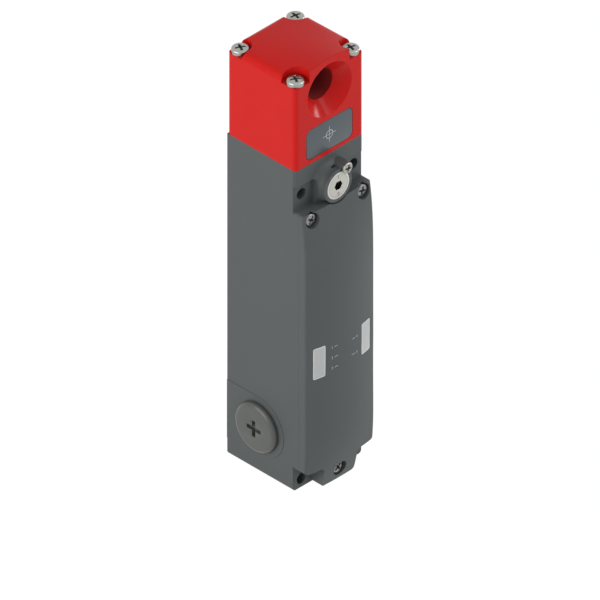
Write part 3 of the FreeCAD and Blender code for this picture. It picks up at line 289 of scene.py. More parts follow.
class Finish:
    """A material under construction: one Principled shader and what feeds it."""

    def __init__(self, name, base, roughness, metallic=0.0, coat=0.0, specular=0.5):
        self.material = bpy.data.materials.new(name)
        self.material.use_nodes = True
        self.tree = self.material.node_tree
        self.shader = self.tree.nodes["Principled BSDF"]
        self.base = base
        for socket, value in (("Base Color", (*base, 1)), ("Roughness", roughness),
                              ("Metallic", metallic), ("Coat Weight", coat),
                              ("Coat Roughness", 0.1), ("Specular IOR Level", specular)):
            self.shader.inputs[socket].default_value = value
        self.place = self.node("ShaderNodeTexCoord", output="Object")
        self.soft = None

    def soften(self, radius):
        """Lets light round every edge of the piece by radius metres."""
        self.soft = self.node("ShaderNodeBevel", {"samples": 6}, Radius=radius)
        return self.feed("Normal", self.soft)

    def node(self, kind, settings=None, output=0, **values):
        """A wire from one new node, whose inputs are named with _ for a space."""
        inputs = {key.replace("_", " "): value for key, value in values.items()}
        return Wire(self.tree, add_node(self.tree, kind, settings, inputs).outputs[output])

    def feed(self, socket, value):
        """Links a wire to an input of the shader."""
        self.tree.links.new(value.socket, self.shader.inputs[socket])
        return self

    def axes(self):
        """The object's own X, Y and Z, in metres."""
        split = add_node(self.tree, "ShaderNodeSeparateXYZ", inputs={0: self.place})
        return [Wire(self.tree, out) for out in split.outputs]

    def noise(self, size, detail=2.0):
        """Grain whose features are about size metres wide, from 0 to 1."""
        return self.node("ShaderNodeTexNoise", Vector=self.place, Scale=1 / size, Detail=detail)

    def mixed(self, factor, first, second):
        """Colour from first to second, each a colour or a wire, as factor goes from 0 to 1."""
        first, second = (value if isinstance(value, Wire) else (*value, 1) for value in (first, second))
        mix = add_node(self.tree, "ShaderNodeMix", {"data_type": "RGBA"},
                       {"Factor": factor, MIX_FIRST: first, MIX_SECOND: second})
        return Wire(self.tree, mix.outputs[MIX_RESULT])

    def tint(self, factor, low, high):
        """Base colour from low to high (shares of the base) as factor goes from 0 to 1."""
        ends = [tuple(min(1, c * share) for c in self.base) for share in (low, high)]
        return self.feed("Base Color", self.mixed(factor, *ends))

    def over(self, factor, colour):
        """Takes the base colour over to another one as factor goes from 0 to 1."""
        held = Wire(self.tree, self.shader.inputs["Base Color"].links[0].from_socket)
        return self.feed("Base Color", self.mixed(factor, held, colour))

    def relief(self, height, depth):
        """Bump whose full height is depth metres."""
        links = {"Normal": self.soft} if self.soft else {}
        bump = self.node("ShaderNodeBump", Height=height, Distance=depth, Strength=1.0, **links)
        return self.feed("Normal", bump)


def powder_coat(name, base, grain, roughness, edge, specular, depth=0.012 * MM):
    """Sprayed paint: fine orange peel, slow change of shade, uneven sheen."""
    skin = Finish(name, base, roughness, specular=specular).soften(edge)
    peel, cloud = skin.noise(grain, 3.0), skin.noise(14 * MM, 3.0)
    skin.relief(peel, depth)
    skin.tint(cloud * 0.7 + peel * 0.3, 0.93, 1.07)
    return skin.feed("Roughness", roughness - 0.05 + cloud * 0.1)


def bright_metal(name, base, roughness, recess=False):
    """Plated or turned metal: fine scratches along the height, cloudy sheen, and with recess on,
    painted shade in the cross recess.
    """
    skin = Finish(name, base, roughness, metallic=1.0)
    x, y, z = skin.axes()
    stretched = skin.node("ShaderNodeCombineXYZ", X=x * SCRATCH_STRETCH, Y=y * SCRATCH_STRETCH, Z=z)
    lines = skin.node("ShaderNodeTexNoise", Vector=stretched, Scale=SCRATCH_SCALE, Detail=3.0)
    cloud = skin.noise(1.2 * MM, 2.0)
    if recess:
        # painted shade: deep in the cross recess the colour goes nearly black and the metal less
        # metallic
        clear = 1 - skin.node("ShaderNodeAttribute", {"attribute_name": "recess"}, output=2) * 0.94
        skin.tint(clear * (cloud * 0.2 + 0.8), 0.06, 1.08).relief(lines, 0.004 * MM)
        return skin.feed("Metallic", clear * 0.7 + 0.3)
    skin.tint(cloud, 0.86, 1.08).relief(lines, 0.004 * MM)
    return skin.feed("Roughness", roughness - 0.06 + lines * 0.12)


def faced_metal(name, base, roughness, centre, socket):
    """Plated disc turned on a lathe: rings about centre (x, z), a bright rim inside a fine line, and
    painted shade in the socket, whose walls begin at depth socket, in metres."""
    skin = Finish(name, base, roughness, metallic=0.9)
    x, y, z = skin.axes()
    radius = ((x - centre[0]) ** 2.0 + (z - centre[1]) ** 2.0) ** 0.5
    rings = (radius * (2 * math.pi / (RING_PITCH * MM))).sine() * 0.5 + 0.5
    cloud = skin.noise(1.5 * MM, 3.0)
    rim = radius > RIM_R * MM
    line = 1 - (abs(radius - LINE_R * MM) > LINE_HALF * MM)
    skin.tint(cloud * 0.25 + rings * 0.15 + rim * 0.35 + 0.25 - line * 0.45, 0.72, 1.3)
    skin.relief(rings - line * 8.0, 0.003 * MM)
    # painted shade: the socket's walls go almost black, for the shade inside it
    skin.over((1 - (radius > SOCKET_R * MM)) * (y > socket), (0.05, 0.05, 0.047))
    return skin.feed("Roughness", roughness - 0.04 + cloud * 0.1)


def moulded(name, base, roughness, coat=0.0, grain=0.25 * MM, depth=0.006 * MM):
    """Moulded plastic: faint spark-eroded texture and slow change of sheen."""
    skin = Finish(name, base, roughness, coat=coat)
    texture, cloud = skin.noise(grain, 2.0), skin.noise(9 * MM, 2.0)
    skin.relief(texture, depth)
    skin.tint(cloud, 0.94, 1.06)
    return skin.feed("Roughness", roughness - 0.05 + cloud * 0.1)


def lamp_lens(name, base, centre, half):
    """Pale lens with a lighter border: centre and half are (x, z) in metres."""
    skin = Finish(name, base, 0.3, coat=0.3)
    x, _, z = skin.axes()
    across, up = abs(x - centre[0]) / half[0], abs(z - centre[1]) / half[1]
    border = (across > 0.84).most(up > 0.93)
    haze = skin.noise(2.2 * MM, 2.0)
    skin.tint(border * 0.75 + haze * 0.25, 0.92, 1.32)
    return skin.feed("Roughness", 0.25 + haze * 0.15)


def wound_wire(name, base):
    """Enamelled wire laid in turns along the height."""
    skin = Finish(name, base, 0.3, metallic=0.6, coat=0.5)
    turns = (skin.axes()[2] * (2 * math.pi / (0.4 * MM))).sine() * 0.5 + 0.5
    return skin.tint(turns, 0.6, 1.1).relief(turns, 0.1 * MM)


def rubber(name, base):
    """Matt moulded rubber with a dusty bloom."""
    skin = Finish(name, base, 0.7)
    bloom = skin.noise(2 * MM, 4.0)
    skin.relief(skin.noise(0.3 * MM), 0.01 * MM).tint(bloom, 0.8, 1.5)
    return skin.feed("Roughness", 0.6 + bloom * 0.25)


def laminate(name, base):
    """Circuit board: solder mask over a glass weave."""
    skin = Finish(name, base, 0.35, coat=0.4)
    x, _, z = skin.axes()
    waves = 2 * math.pi / (0.5 * MM)
    weave = (x * waves).sine() * (z * waves).sine() * 0.5 + 0.5
    return skin.tint(weave, 0.9, 1.1).relief(weave, 0.004 * MM)


@functools.cache
def spring_steel():
    """Bright steel of the springs and of the release's clip."""
    return bright_metal("spring_steel", (0.42, 0.42, 0.44), 0.34)


@functools.cache
def pale_print():
    """Ink of every printed mark."""
    return moulded("pale_print", tuple(bpy.context.scene.switch_paints.print_ink), 0.5)


# ---------------------------------------------------------------- shapes
def add_mesh(name, points, faces):
    """A new object from points in mm and its faces."""
    mesh = bpy.data.meshes.new(name)
    mesh.from_pydata((np.asarray(points, float) * MM).tolist(), [], [list(map(int, f)) for f in faces])
    mesh.update()
    piece = bpy.data.objects.new(name, mesh)
    bpy.context.scene.collection.objects.link(piece)
    return piece


def band(path, width, front, back, closed):
    """Flat band on the XZ plane: each path point (x, z) moved half the width along the path's
    normal to both sides, at depth front and depth back, which gives four rows of a grid."""
    path = np.asarray(path, float)
    if closed:
        along = np.roll(path, -1, 0) - np.roll(path, 1, 0)
    else:
        along = np.gradient(path, axis=0)
    along /= np.linalg.norm(along, axis=1)[:, None]
    normal = np.stack([-along[:, 1], along[:, 0]], 1) * width / 2
    rows = []
    for side, depth in ((1, back), (1, front), (-1, front), (-1, back)):
        edge = path + side * normal
        rows.append(np.stack([edge[:, 0], np.full(len(path), depth), edge[:, 1]], 1))
    points, count = np.concatenate(rows), len(path)
    steps = np.arange(count if closed else count - 1)
    after = (steps + 1) % count
    faces = np.concatenate([
        np.stack([r * count + steps, (r + 1) % 4 * count + steps,
                  (r + 1) % 4 * count + after, r * count + after], 1) for r in range(4)]).tolist()
    if not closed:
        faces += [[r * count for r in (3, 2, 1, 0)], [r * count + count - 1 for r in range(4)]]
    return points, faces


def joined(shapes):
    """Several (points, faces) shapes as one."""
    points, faces, base = [], [], 0
    for shape_points, shape_faces in shapes:
        points.append(shape_points)
        faces += [[index + base for index in face] for face in shape_faces]
        base += len(shape_points)
    return np.concatenate(points), faces


def circle(radius, centre, count=64):
    """Points on a circle in the XZ plane."""
    angle = np.linspace(0, 2 * math.pi, count, endpoint=False)
    return np.stack([centre[0] + radius * np.cos(angle), centre[1] + radius * np.sin(angle)], 1)


def crossed_head(profile, crown_rows, cross, centre, axis, way, turn):
    """Turned fastener with a cross recess, as a grid of radius and angle closed by a pole at each
    end. profile holds (radius, height) from the crown's middle to the tip. Inside the crown the
    height drops by the recess: its depth where a point lies within half the arm's width of either
    arm's line and within the arm's length, eased over the wall, and as deep round the middle. The
    fastener lies along Y for axis 1 and Z for axis 2, and its head faces way along it. Returns
    points, faces and each point's share of the recess's depth."""
    steps = SCREW_STEPS
    angle = np.linspace(0, 2 * math.pi, steps, endpoint=False)
    radius, angle = np.meshgrid(profile[:, 0], angle, indexing="ij")
    height = np.repeat(profile[:, 1:2], steps, 1)
    a, b = radius * np.cos(angle + turn), radius * np.sin(angle + turn)

    def inside(along, across):
        arm = (cross.width / 2 - np.abs(across)) / cross.wall + 0.5
        end = (cross.reach / 2 - np.abs(along)) / cross.wall + 0.5
        return np.clip(np.minimum(arm, end), 0, 1)

    heart = np.clip((cross.width * 0.95 - np.hypot(a, b)) / cross.wall + 0.5, 0, 1)
    share = np.maximum(np.maximum(inside(a, b), inside(b, a)), heart)
    share[crown_rows:] = 0
    height = height - share * cross.depth
    flat = [(radius * np.cos(angle)).ravel(), (radius * np.sin(angle)).ravel()]
    flat.insert(axis, way * height.ravel())
    points = np.stack(flat, 1) + np.asarray(centre)
    rows = len(profile)
    ring, after = np.arange(steps), (np.arange(steps) + 1) % steps
    faces = []
    for row in range(rows - 1):
        faces += np.stack([row * steps + ring, row * steps + after,
                           (row + 1) * steps + after, (row + 1) * steps + ring], 1).tolist()
    for row, tip in ((0, rows * steps), (rows - 1, rows * steps + 1)):
        faces += np.stack([row * steps + ring, row * steps + after, np.full(steps, tip)], 1).tolist()
    poles = np.stack([points[:steps].mean(0), points[-steps:].mean(0)])
    return np.concatenate([points, poles]), faces, np.concatenate([share.ravel(), [1, 0]])


def pan_profile(head_r, head_l, shank_r, shank_l, crown=0.35, edge=0.7):
    """Crown, rounded shoulder, side, seat, shank and tip of a pan head, the crown's middle at the
    head's full height: the crown is a low arc and the shoulder a quarter circle of radius edge.
    Returns the profile and how many of its points lie on the crown."""
    flat = np.linspace(FINE, head_r - edge, 34)
    top = head_l - crown * (flat / head_r) ** 2
    bend = np.linspace(0, math.pi / 2, 9)[1:]
    corner = np.stack([head_r - edge + edge * np.sin(bend), top[-1] - edge + edge * np.cos(bend)], 1)
    rest = [(head_r, SEAT_LIFT), (head_r - SEAT_STEP, 0), (shank_r, 0), (shank_r, -shank_l + TIP),
            (shank_r - TIP, -shank_l), (FINE, -shank_l)]
    return np.concatenate([np.stack([flat, top], 1), corner, rest]), len(flat)


def fasteners(name, shapes):
    """One object from several crossed heads, whose attribute recess says how deep in the cross each
    point lies; the zinc paints shade there."""
    piece = polished(add_mesh(name, *joined([shape[:2] for shape in shapes])), 35.0)
    share = np.concatenate([shape[2] for shape in shapes])
    layer = piece.data.attributes.new("recess", "FLOAT", "POINT")
    layer.data.foreach_set("value", share.astype(np.float32))
    return piece


def polished(piece, sharp):
    """Turns a closed piece's faces outwards and shades it smooth but for edges over sharp degrees."""
    outward(piece)
    piece.data.shade_smooth()
    piece.data.set_sharp_from_angle(angle=math.radians(sharp))
    return piece


def outward(piece):
    """Turns every face of a closed piece outwards."""
    work = bmesh.new()
    work.from_mesh(piece.data)
    bmesh.ops.recalc_face_normals(work, faces=work.faces)
    work.to_mesh(piece.data)
    work.free()
    return piece


def cover_front(x):
    """Depth of the cover's face at x: an arc of radius COVER_R across the middle plane."""
    return COVER_CROWN + COVER_R - np.sqrt(COVER_R ** 2 - np.square(x))


def figure(name, text, height, centre, depth):
    """A printed or engraved number on the XZ plane, facing -Y: the flat glyph is moved to its
    centre (x, z), and its front lies at depth(x)."""
    curve = bpy.data.curves.new(name, "FONT")
    curve.body, curve.size, curve.extrude = text, height * TYPE_SIZE, FIGURE_T / 2
    curve.align_x, curve.align_y = "CENTER", "CENTER"
    curve.resolution_u = 4
    shape = bpy.data.objects.new(name + "_curve", curve)
    bpy.context.scene.collection.objects.link(shape)
    bpy.context.view_layer.update()
    mesh = bpy.data.meshes.new_from_object(shape.evaluated_get(bpy.context.evaluated_depsgraph_get()))
    bpy.data.objects.remove(shape)
    flat = np.empty(len(mesh.vertices) * 3)
    mesh.vertices.foreach_get("co", flat)
    flat = flat.reshape(-1, 3)
    x, z = centre[0] + flat[:, 0], centre[1] + flat[:, 1]
    placed = np.stack([x, depth(x) + FIGURE_T / 2 - flat[:, 2], z], 1) * MM
    mesh.vertices.foreach_set("co", placed.ravel())
    mesh.update()
    mesh.name = name
    piece = bpy.data.objects.new(name, mesh)
    bpy.context.scene.collection.objects.link(piece)
    return piece


def coil(name, node, up, wire, turns):
    """Round wire on a helix inside the node's box: the angle grows evenly with the rise, and each
    ring of the wire, tilted by the rise, lies square to the path. up is 1 where the spring lies
    along Y and 2 where it stands along Z."""
    low, high = BOX[node]
    middle_x, middle_s = middle(node)[0], middle(node)[3 - up]
    radius = (high[0] - low[0] - wire) / 2
    run, count, sides = high[up] - low[up] - wire, round(turns * COIL_STEPS), COIL_SIDES
    rise = math.atan2(run / turns, 2 * math.pi * radius)
    turn, around = np.meshgrid(np.linspace(0, 2 * math.pi * turns, count + 1),
                               np.linspace(0, 2 * math.pi, sides, endpoint=False), indexing="ij")
    out = radius + wire / 2 * np.cos(around)
    lean = -wire / 2 * np.sin(around) * math.sin(rise)
    across = out * np.cos(turn) - lean * np.sin(turn) + middle_x
    beside = out * np.sin(turn) + lean * np.cos(turn)
    height = (low[up] + wire / 2 + run * turn / (2 * math.pi * turns)
              + wire / 2 * np.sin(around) * math.cos(rise))
    axes = (across, beside + middle_s, height) if up == 2 else (across, height, middle_s - beside)
    points = np.stack([axis.ravel() for axis in axes], 1)
    ring, step = np.meshgrid(np.arange(count) * sides, np.arange(sides), indexing="ij")
    ring, step, after = ring.ravel(), step.ravel(), (step.ravel() + 1) % sides
    faces = np.stack([ring + step, ring + after, ring + sides + after, ring + sides + step], 1)
    caps = [list(range(sides)), list(range(count * sides + sides - 1, count * sides - 1, -1))]
    return polished(add_mesh(name, points, faces.tolist() + caps), 40.0)


# ---------------------------------------------------------------- making pieces from the frame
def body_of(node_name):
    """Name of the CAD body that carries a node."""
    holder = frame["nodes"][node_name].parent
    return next(name for name, empty in frame["bodies"].items() if empty == holder)


def dress(names, skin):
    """Gives CAD nodes their finish."""
    for name in names:
        mesh = frame["nodes"][name].data
        mesh.materials.clear()
        mesh.materials.append(skin.material)


def rounded(name, node_name, skin, width, segments=3):
    """A merged copy of a CAD node with its sharp edges rounded, which stands for that node."""
    mesh = frame["nodes"][node_name].data.copy()
    mesh.name = name
    work = bmesh.new()
    work.from_mesh(mesh)
    bmesh.ops.remove_doubles(work, verts=work.verts, dist=MERGE)
    bmesh.ops.dissolve_limit(work, angle_limit=FLAT_EDGE, verts=work.verts, edges=work.edges,
                             use_dissolve_boundaries=False)
    for face in work.faces:
        face.smooth = True
    work.to_mesh(mesh)
    work.free()
    mesh.materials.clear()
    piece = bpy.data.objects.new(name, mesh)
    bpy.context.scene.collection.objects.link(piece)
    bevel = piece.modifiers.new("edges", "BEVEL")
    bevel.width, bevel.segments, bevel.limit_method = width, segments, "ANGLE"
    bevel.angle_limit, bevel.use_clamp_overlap, bevel.harden_normals = SHARP_EDGE, False, True
    bevel.miter_outer = "MITER_SHARP"
    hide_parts(node_name)
    return settle(piece, body_of(node_name), skin)


def settle(piece, body, skin):
    """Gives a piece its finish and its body."""
    piece.data.materials.append(skin.material)
    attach(piece, body)
    return piece


# ---------------------------------------------------------------- operators
class PaintCastings(bpy.types.Operator):
    """Powder-coats the housing and cover and paints the head, with painted shade inside its bore."""
    bl_idname = "interlock.castings"
    bl_label = "Painted castings"

    def execute(self, context):
        paints, marks = context.scene.switch_paints, context.scene.switch_marks
        dress(["housing", "cover"], powder_coat(
            "grey_powder_coat", tuple(paints.body), paints.grain, 0.44, marks.edge, 0.22))
        red = powder_coat("red_gloss_paint", tuple(paints.head), paints.grain * 1.6, 0.20,
                          marks.edge, 0.10, 0.004 * MM)
        x, y, z = red.axes()
        away = (x ** 2.0 + (z - BORE_Z * MM) ** 2.0) ** 0.5
        inside = ((1 - (away > (BORE_R + BORE_SHADE_MARGIN) * MM)) * (y > (BORE_FRONT + BORE_SHADE_START) * MM)
                  * (1 - (y > BORE_END * MM)))
        # painted shade: inside the bore the red goes dark, for the shade that falls there
        red.over(inside, (0.27, 0.033, 0.031))
        dress(["head_casting"], red)
        return {"FINISHED"}


class DriveScrews(bpy.types.Operator):
    """Puts a pan head with a cross recess on each screw that shows."""
    bl_idname = "interlock.screws"
    bl_label = "Screws"

    def execute(self, context):
        # the cover screws take a darker copy of the same zinc: painted shade for their darker look on
        # the front
        driven = bright_metal("driven_zinc", (0.375, 0.38, 0.35), 0.30, recess=True)
        zinc_in_shade = bright_metal("dull_zinc", (0.27, 0.275, 0.27), 0.34, recess=True)
        for name, node, shapes, finish in (
                ("head_screw_set", "head_screws", self.head_screws(), driven),
                ("cover_screw_set", "cover_screws", self.cover_screws(), zinc_in_shade),
                ("release_lock_screw_new", "release_lock_screw", self.lock_screw(), driven)):
            piece = fasteners(name, shapes)
            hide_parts(node)
            settle(piece, body_of(node), finish)
        return {"FINISHED"}

    @staticmethod
    def head_screws():
        """Four screws down through the head, at the corners of their node's box."""
        low, high = BOX["head_screws"]
        profile = pan_profile(HEAD_SCREW_R, HEAD_SCREW_L, HEAD_SHANK_R, high[2] - low[2] - HEAD_SCREW_L)
        return [crossed_head(*profile, HEAD_CROSS, (x, y, high[2] - HEAD_SCREW_L), 2, 1, turn)
                for x, turn in ((low[0] + HEAD_SCREW_R, 0.5), (high[0] - HEAD_SCREW_R, 0.2))
                for y in (low[1] + HEAD_SCREW_R, high[1] - HEAD_SCREW_R)]

    @staticmethod
    def cover_screws():
        """Two screws at the top of the cover and one in its tongue, which sits nearer the front."""
        low, high = BOX["cover_screws"]
        profile = pan_profile(COVER_SCREW_R, COVER_SCREW_L, COVER_SHANK_R, COVER_SHANK_L,
                              SMALL_CROWN, SMALL_SHOULDER)
        front, top = low[1] + COVER_SCREW_L, high[2] - COVER_SCREW_R
        back = front + COVER_SCREW_STEP
        places = ((low[0] + COVER_SCREW_R, back, top, 0.6),
                  (high[0] - COVER_SCREW_R, back, top, 0.3),
                  ((low[0] + high[0]) / 2, front, low[2] + COVER_SCREW_R, 0.9))
        return [crossed_head(*profile, COVER_CROSS, (x, y, z), 1, -1, turn) for x, y, z, turn in places]

    @staticmethod
    def lock_screw():
        """The locking screw over the rim of the release disc."""
        low, size = BOX["release_lock_screw"][0], span("release_lock_screw")
        profile = pan_profile(size[0] / 2, LOCK_SCREW_L, LOCK_SHANK_R, size[1] - LOCK_SCREW_L,
                              SMALL_CROWN, SMALL_SHOULDER)
        x, _, z = middle("release_lock_screw")
        return [crossed_head(*profile, LOCK_CROSS, (x, low[1] + LOCK_SCREW_L, z), 1, -1, 0.2)]


class FitMetal(bpy.types.Operator):
    """Finishes the release disc and the metal inside."""
    bl_idname = "interlock.metal"
    bl_label = "Metal parts"

    def execute(self, context):
        nickel = faced_metal("turned_nickel", (0.50, 0.50, 0.455), 0.38,
                             (DISC[0] * MM, DISC[2] * MM), (DISC_FACE + SOCKET_START) * MM)
        rounded("release_disc_face", "release_disc", nickel,
                context.scene.switch_marks.fine_edge, segments=2)
        dress(["board_screws", "contact_screws", "earth_screw", "solenoid_screws",
               "solenoid_frame"], bright_metal("bright_zinc", (0.40, 0.405, 0.385), 0.30))
        dress(["release_shaft"], bright_metal("blackened_steel", (0.09, 0.09, 0.088), 0.4))
        dress(["lock_bolt", "lock_rod", "solenoid_pole", "armature"],
              bright_metal("ground_steel", (0.52, 0.52, 0.52), 0.3))
        dress(["release_clip"], spring_steel())
        dress(["bolt_guide_bush", "terminal_screws"],
              bright_metal("brass", (0.66, 0.48, 0.20), 0.32))
        dress(["solenoid_coil", "antenna_coil"], wound_wire("copper_winding", (0.55, 0.22, 0.08)))
        return {"FINISHED"}


class WindSprings(bpy.types.Operator):
    """Winds the two springs in the places of their nodes."""
    bl_idname = "interlock.springs"
    bl_label = "Springs"

    def execute(self, context):
        for name, node, up, wire, turns, body in SPRINGS:
            piece = coil(name, node, up, wire, turns)
            piece.data.materials.append(spring_steel().material)
            held, pushed = middle(node) * MM, middle(node) * MM
            held[up] = (BOX[node][1][up] - wire) * MM
            pushed[up] = (BOX[node][0][up] + wire) * MM
            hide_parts(node)
            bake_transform(piece)
        return {"FINISHED"}


class FitPlastic(bpy.types.Operator):
    """Finishes the plugs, the pane, the lamp lenses, the seals and the inner mouldings."""
    bl_idname = "interlock.plastic"
    bl_label = "Plastic and rubber parts"

    def execute(self, context):
        paints, marks = context.scene.switch_paints, context.scene.switch_marks
        plug = moulded("plug_moulding", tuple(paints.plug), 0.34, 0.1)
        for side in ("left", "right", "bottom"):
            rounded("plug_" + side + "_cap", "plug_" + side, plug, marks.fine_edge * 2)
        pane = moulded("pane_moulding", tuple(paints.pane), 0.36, 0.1, 0.4 * MM, 0.004 * MM)
        rounded("antenna_pane", "antenna_window", pane, marks.fine_edge)
        for side in ("left", "right"):
            node = "led_window_" + side
            centre, size = middle(node), span(node)
            lens = lamp_lens("lamp_lens_" + side, tuple(paints.lens),
                             (centre[0] * MM, centre[2] * MM), (size[0] * MM / 2, size[2] * MM / 2))
            rounded("lamp_lens_" + side, node, lens, marks.fine_edge)
        dress(["cover_gasket", "head_gasket", "release_seal", "follower_ring", "plug_seals"],
              rubber("black_rubber", (0.020, 0.020, 0.021)))
        dress(["contact_block", "contact_carrier", "solenoid_bobbin", "actuator_follower"],
              moulded("black_moulding", (0.022, 0.022, 0.024), 0.42))
        dress(["terminal_block"], moulded("terminal_moulding", (0.16, 0.30, 0.20), 0.4))
        dress(["main_board", "antenna_board"], laminate("circuit_board", (0.02, 0.16, 0.07)))
        dress(["leds"], moulded("lamp_body", (0.75, 0.72, 0.60), 0.3))
        return {"FINISHED"}


class PrintTarget(bpy.types.Operator):
    """Prints the ring and cross on the antenna pane, where the other half of the lock is read."""
    bl_idname = "interlock.target"
    bl_label = "Target mark"

    def execute(self, context):
        marks = context.scene.switch_marks
        radius, reach, width = (size / MM for size in (
            marks.target_radius, marks.target_reach, marks.line_width))
        face = BOX["antenna_window"][0][1]
        front, back = face - marks.raise_by / MM, face + TARGET_SUNK
        x, _, z = middle("antenna_window")
        shapes = [band(circle(radius, (x, z)), width, front, back, True)]
        for way in np.eye(2):
            path = np.array([x, z]) + np.linspace(-reach, reach, 6)[:, None] * way
            shapes.append(band(path, width * CROSS_SHARE, front, back, False))
        piece = outward(add_mesh("target_mark", *joined(shapes)))
        settle(piece, body_of("antenna_window"), pale_print())
        return {"FINISHED"}


class MarkDisc(bpy.types.Operator):
    """Engraves the two positions of the emergency release, 0 and 1, on its disc."""
    bl_idname = "interlock.disc_marks"
    bl_label = "Release disc marks"

    def execute(self, context):
        height = context.scene.switch_marks.digit_height / MM
        ink = moulded("engraved_black", (0.03, 0.03, 0.03), 0.5)
        for text, side in (("1", 1), ("0", -1)):
            piece = figure("release_mark_" + text, text, height, (DISC[0], DISC[2] + side * DIGIT_OUT),
                           lambda x: DISC_FACE - DIGIT_PROUD)
            settle(piece, body_of("release_disc"), ink)
        return {"FINISHED"}


class NumberLamps(bpy.types.Operator):
    """Prints a number and a short tick beside each lamp of the two windows."""
    bl_idname = "interlock.lamp_numbers"
    bl_label = "Lamp numbers"

    def execute(self, context):
        marks = context.scene.switch_marks
        rise = marks.raise_by / MM
        low, high = BOX["led_window_left"]
        places = [(side, high[2] - (high[2] - low[2]) * (row + 0.5) / rows)
                  for side, rows in LAMP_ROWS for row in range(rows)]
        for count, (side, z) in enumerate(places, 1):
            label = figure("lamp_number_" + str(count), str(count), marks.label_height / MM,
                           (side * LABEL_X, z), lambda x: cover_front(x) - rise)
            ends = side * np.array(DASH_X)
            path = np.stack([np.linspace(*ends, 3), np.full(3, z)], 1)
            front = cover_front(ends.mean())
            dash = outward(add_mesh("lamp_dash_" + str(count), *band(
                path, DASH_W, front - rise, front + DASH_SUNK, False)))
            for piece in (label, dash):
                settle(piece, body_of("cover"), pale_print())
        return {"FINISHED"}


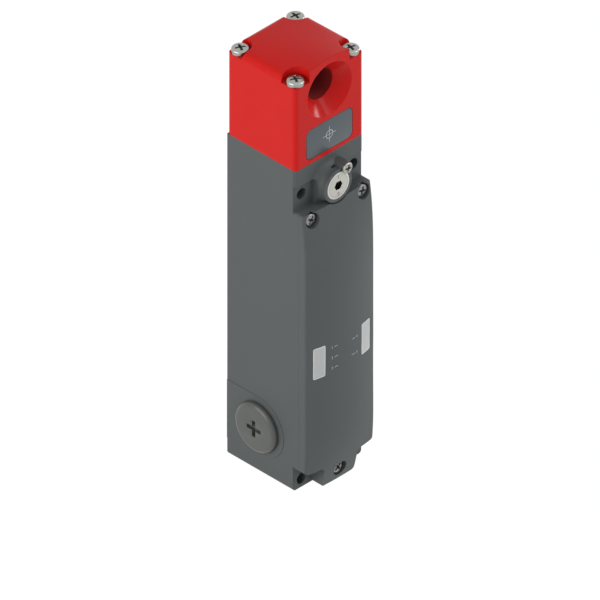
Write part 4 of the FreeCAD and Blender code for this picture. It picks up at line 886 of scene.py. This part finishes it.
class SetStage(bpy.types.Operator):
    """Lays the pale floor, hangs the soft lamps and sets the camera."""
    bl_idname = "interlock.stage"
    bl_label = "Stage"

    def execute(self, context):
        stage, scene = context.scene.switch_stage, context.scene
        run = np.linspace(-FLOOR_SIDE / 2, FLOOR_SIDE / 2, FLOOR_STEPS)
        x, y = np.meshgrid(run, run, indexing="ij")
        points = np.stack([x, y, np.full_like(x, CAD_BOX[0][2])], 2).reshape(-1, 3) / MM
        first = (np.arange(FLOOR_STEPS - 1)[:, None] * FLOOR_STEPS + np.arange(FLOOR_STEPS - 1)).ravel()
        floor = add_mesh("floor", points, np.stack(
            [first, first + FLOOR_STEPS, first + FLOOR_STEPS + 1, first + 1], 1))
        floor.data.materials.append(self.white_floor())
        self.white_world(scene, stage.ambient)

        for name, way, size, tint, power in (
                ("softbox_left", (-1.0, 0.12, 0.45), (0.7, 0.7), WHITE, stage.left_power),
                ("softbox_front", (0.6, -0.8, 0.6), (0.35, 0.35), COOL, stage.front_power),
                ("softbox_right", (1.0, -0.22, 0.10), (0.12, 0.4), WHITE, stage.right_power),
                ("softbox_top", (0.1, -0.5, 1.0), (0.6, 0.6), WHITE, stage.top_power)):
            lamp = bpy.data.lights.new(name, "AREA")
            lamp.shape, lamp.energy, lamp.color = "RECTANGLE", power, tint
            lamp.size, lamp.size_y = size
            self.place(scene, name, lamp, Vector(way).normalized(), LAMP_DISTANCE)

        camera = bpy.data.cameras.new("camera")
        camera.type, camera.ortho_scale = "ORTHO", stage.view_width
        camera.clip_start, camera.clip_end = 0.01, 20.0
        level = math.cos(stage.elevation)
        back = Vector((math.sin(stage.azimuth) * level, -math.cos(stage.azimuth) * level,
                       math.sin(stage.elevation)))
        scene.camera = self.place(scene, "camera", camera, back, CAMERA_DISTANCE)
        scene.view_settings.view_transform = "Standard"
        return {"FINISHED"}

    @staticmethod
    def place(scene, name, data, way, distance):
        """Puts a lamp or the camera at a distance along way from the stage's centre, facing it."""
        holder = bpy.data.objects.new(name, data)
        holder.location = STAGE_CENTRE + way * distance
        holder.rotation_euler = (-way).to_track_quat("-Z", "Y").to_euler()
        scene.collection.objects.link(holder)
        return holder

    @staticmethod
    def seen(tree):
        """1 where a ray comes from the camera, a mirror or glass, else 0."""
        path = add_node(tree, "ShaderNodeLightPath")
        camera, mirror, glass = (Wire(tree, path.outputs["Is " + kind + " Ray"])
                                 for kind in ("Camera", "Glossy", "Transmission"))
        return camera.most(mirror).most(glass)

    def white_floor(self):
        """Pale floor that camera, mirror and glass see as white, with the shadow kept."""
        material = bpy.data.materials.new("white_floor")
        material.use_nodes = True
        tree = material.node_tree
        shader, out = tree.nodes["Principled BSDF"], tree.nodes["Material Output"]
        shader.inputs["Base Color"].default_value = FLOOR_COLOUR
        shader.inputs["Roughness"].default_value = 0.8
        glow = add_node(tree, "ShaderNodeEmission", inputs={"Strength": FLOOR_GLOW})
        mix = add_node(tree, "ShaderNodeMixShader", inputs={
            0: self.seen(tree) * FLOOR_SHARE, 1: Wire(tree, shader.outputs[0]),
            2: Wire(tree, glow.outputs[0])})
        tree.links.new(mix.outputs[0], out.inputs["Surface"])
        return material

    def white_world(self, scene, ambient):
        """White surroundings: full white where seen or mirrored, ambient as light."""
        world = bpy.data.worlds.new("surroundings")
        scene.world = world
        world.use_nodes = True
        sky = world.node_tree.nodes["Background"]
        sky.inputs["Color"].default_value = (1, 1, 1, 1)
        strength = self.seen(world.node_tree) * (1 - ambient) + ambient
        world.node_tree.links.new(strength.socket, sky.inputs["Strength"])


class InterlockPanel(bpy.types.Panel):
    """Lists the pieces of the switch."""
    bl_idname = "VIEW3D_PT_interlock"
    bl_label = "Interlock switch"
    bl_space_type = "VIEW_3D"
    bl_region_type = "UI"
    bl_category = "Interlock"

    def draw(self, context):
        for operator in OPERATORS:
            self.layout.operator(operator.bl_idname)
        for holder in (context.scene.switch_paints, context.scene.switch_marks,
                       context.scene.switch_stage):
            for name in type(holder).__annotations__:
                self.layout.prop(holder, name)


SETTINGS = {"switch_paints": SwitchPaints, "switch_marks": SwitchMarks, "switch_stage": SwitchStage}
OPERATORS = (SetStage, PaintCastings, DriveScrews, FitMetal, WindSprings, FitPlastic, PrintTarget,
             MarkDisc, NumberLamps)


def register():
    for group in SETTINGS.values():
        bpy.utils.register_class(group)
    for name, group in SETTINGS.items():
        setattr(bpy.types.Scene, name, PointerProperty(type=group))
    for kind in (*OPERATORS, InterlockPanel):
        bpy.utils.register_class(kind)


def unregister():
    for kind in (InterlockPanel, *reversed(OPERATORS)):
        bpy.utils.unregister_class(kind)
    for name, group in SETTINGS.items():
        delattr(bpy.types.Scene, name)
        bpy.utils.unregister_class(group)


def main():
    """Makes the switch around its frame."""
    register()
    for operator in OPERATORS:
        area, name = operator.bl_idname.split(".")
        getattr(getattr(bpy.ops, area), name)()


if __name__ == "__main__":
    main()
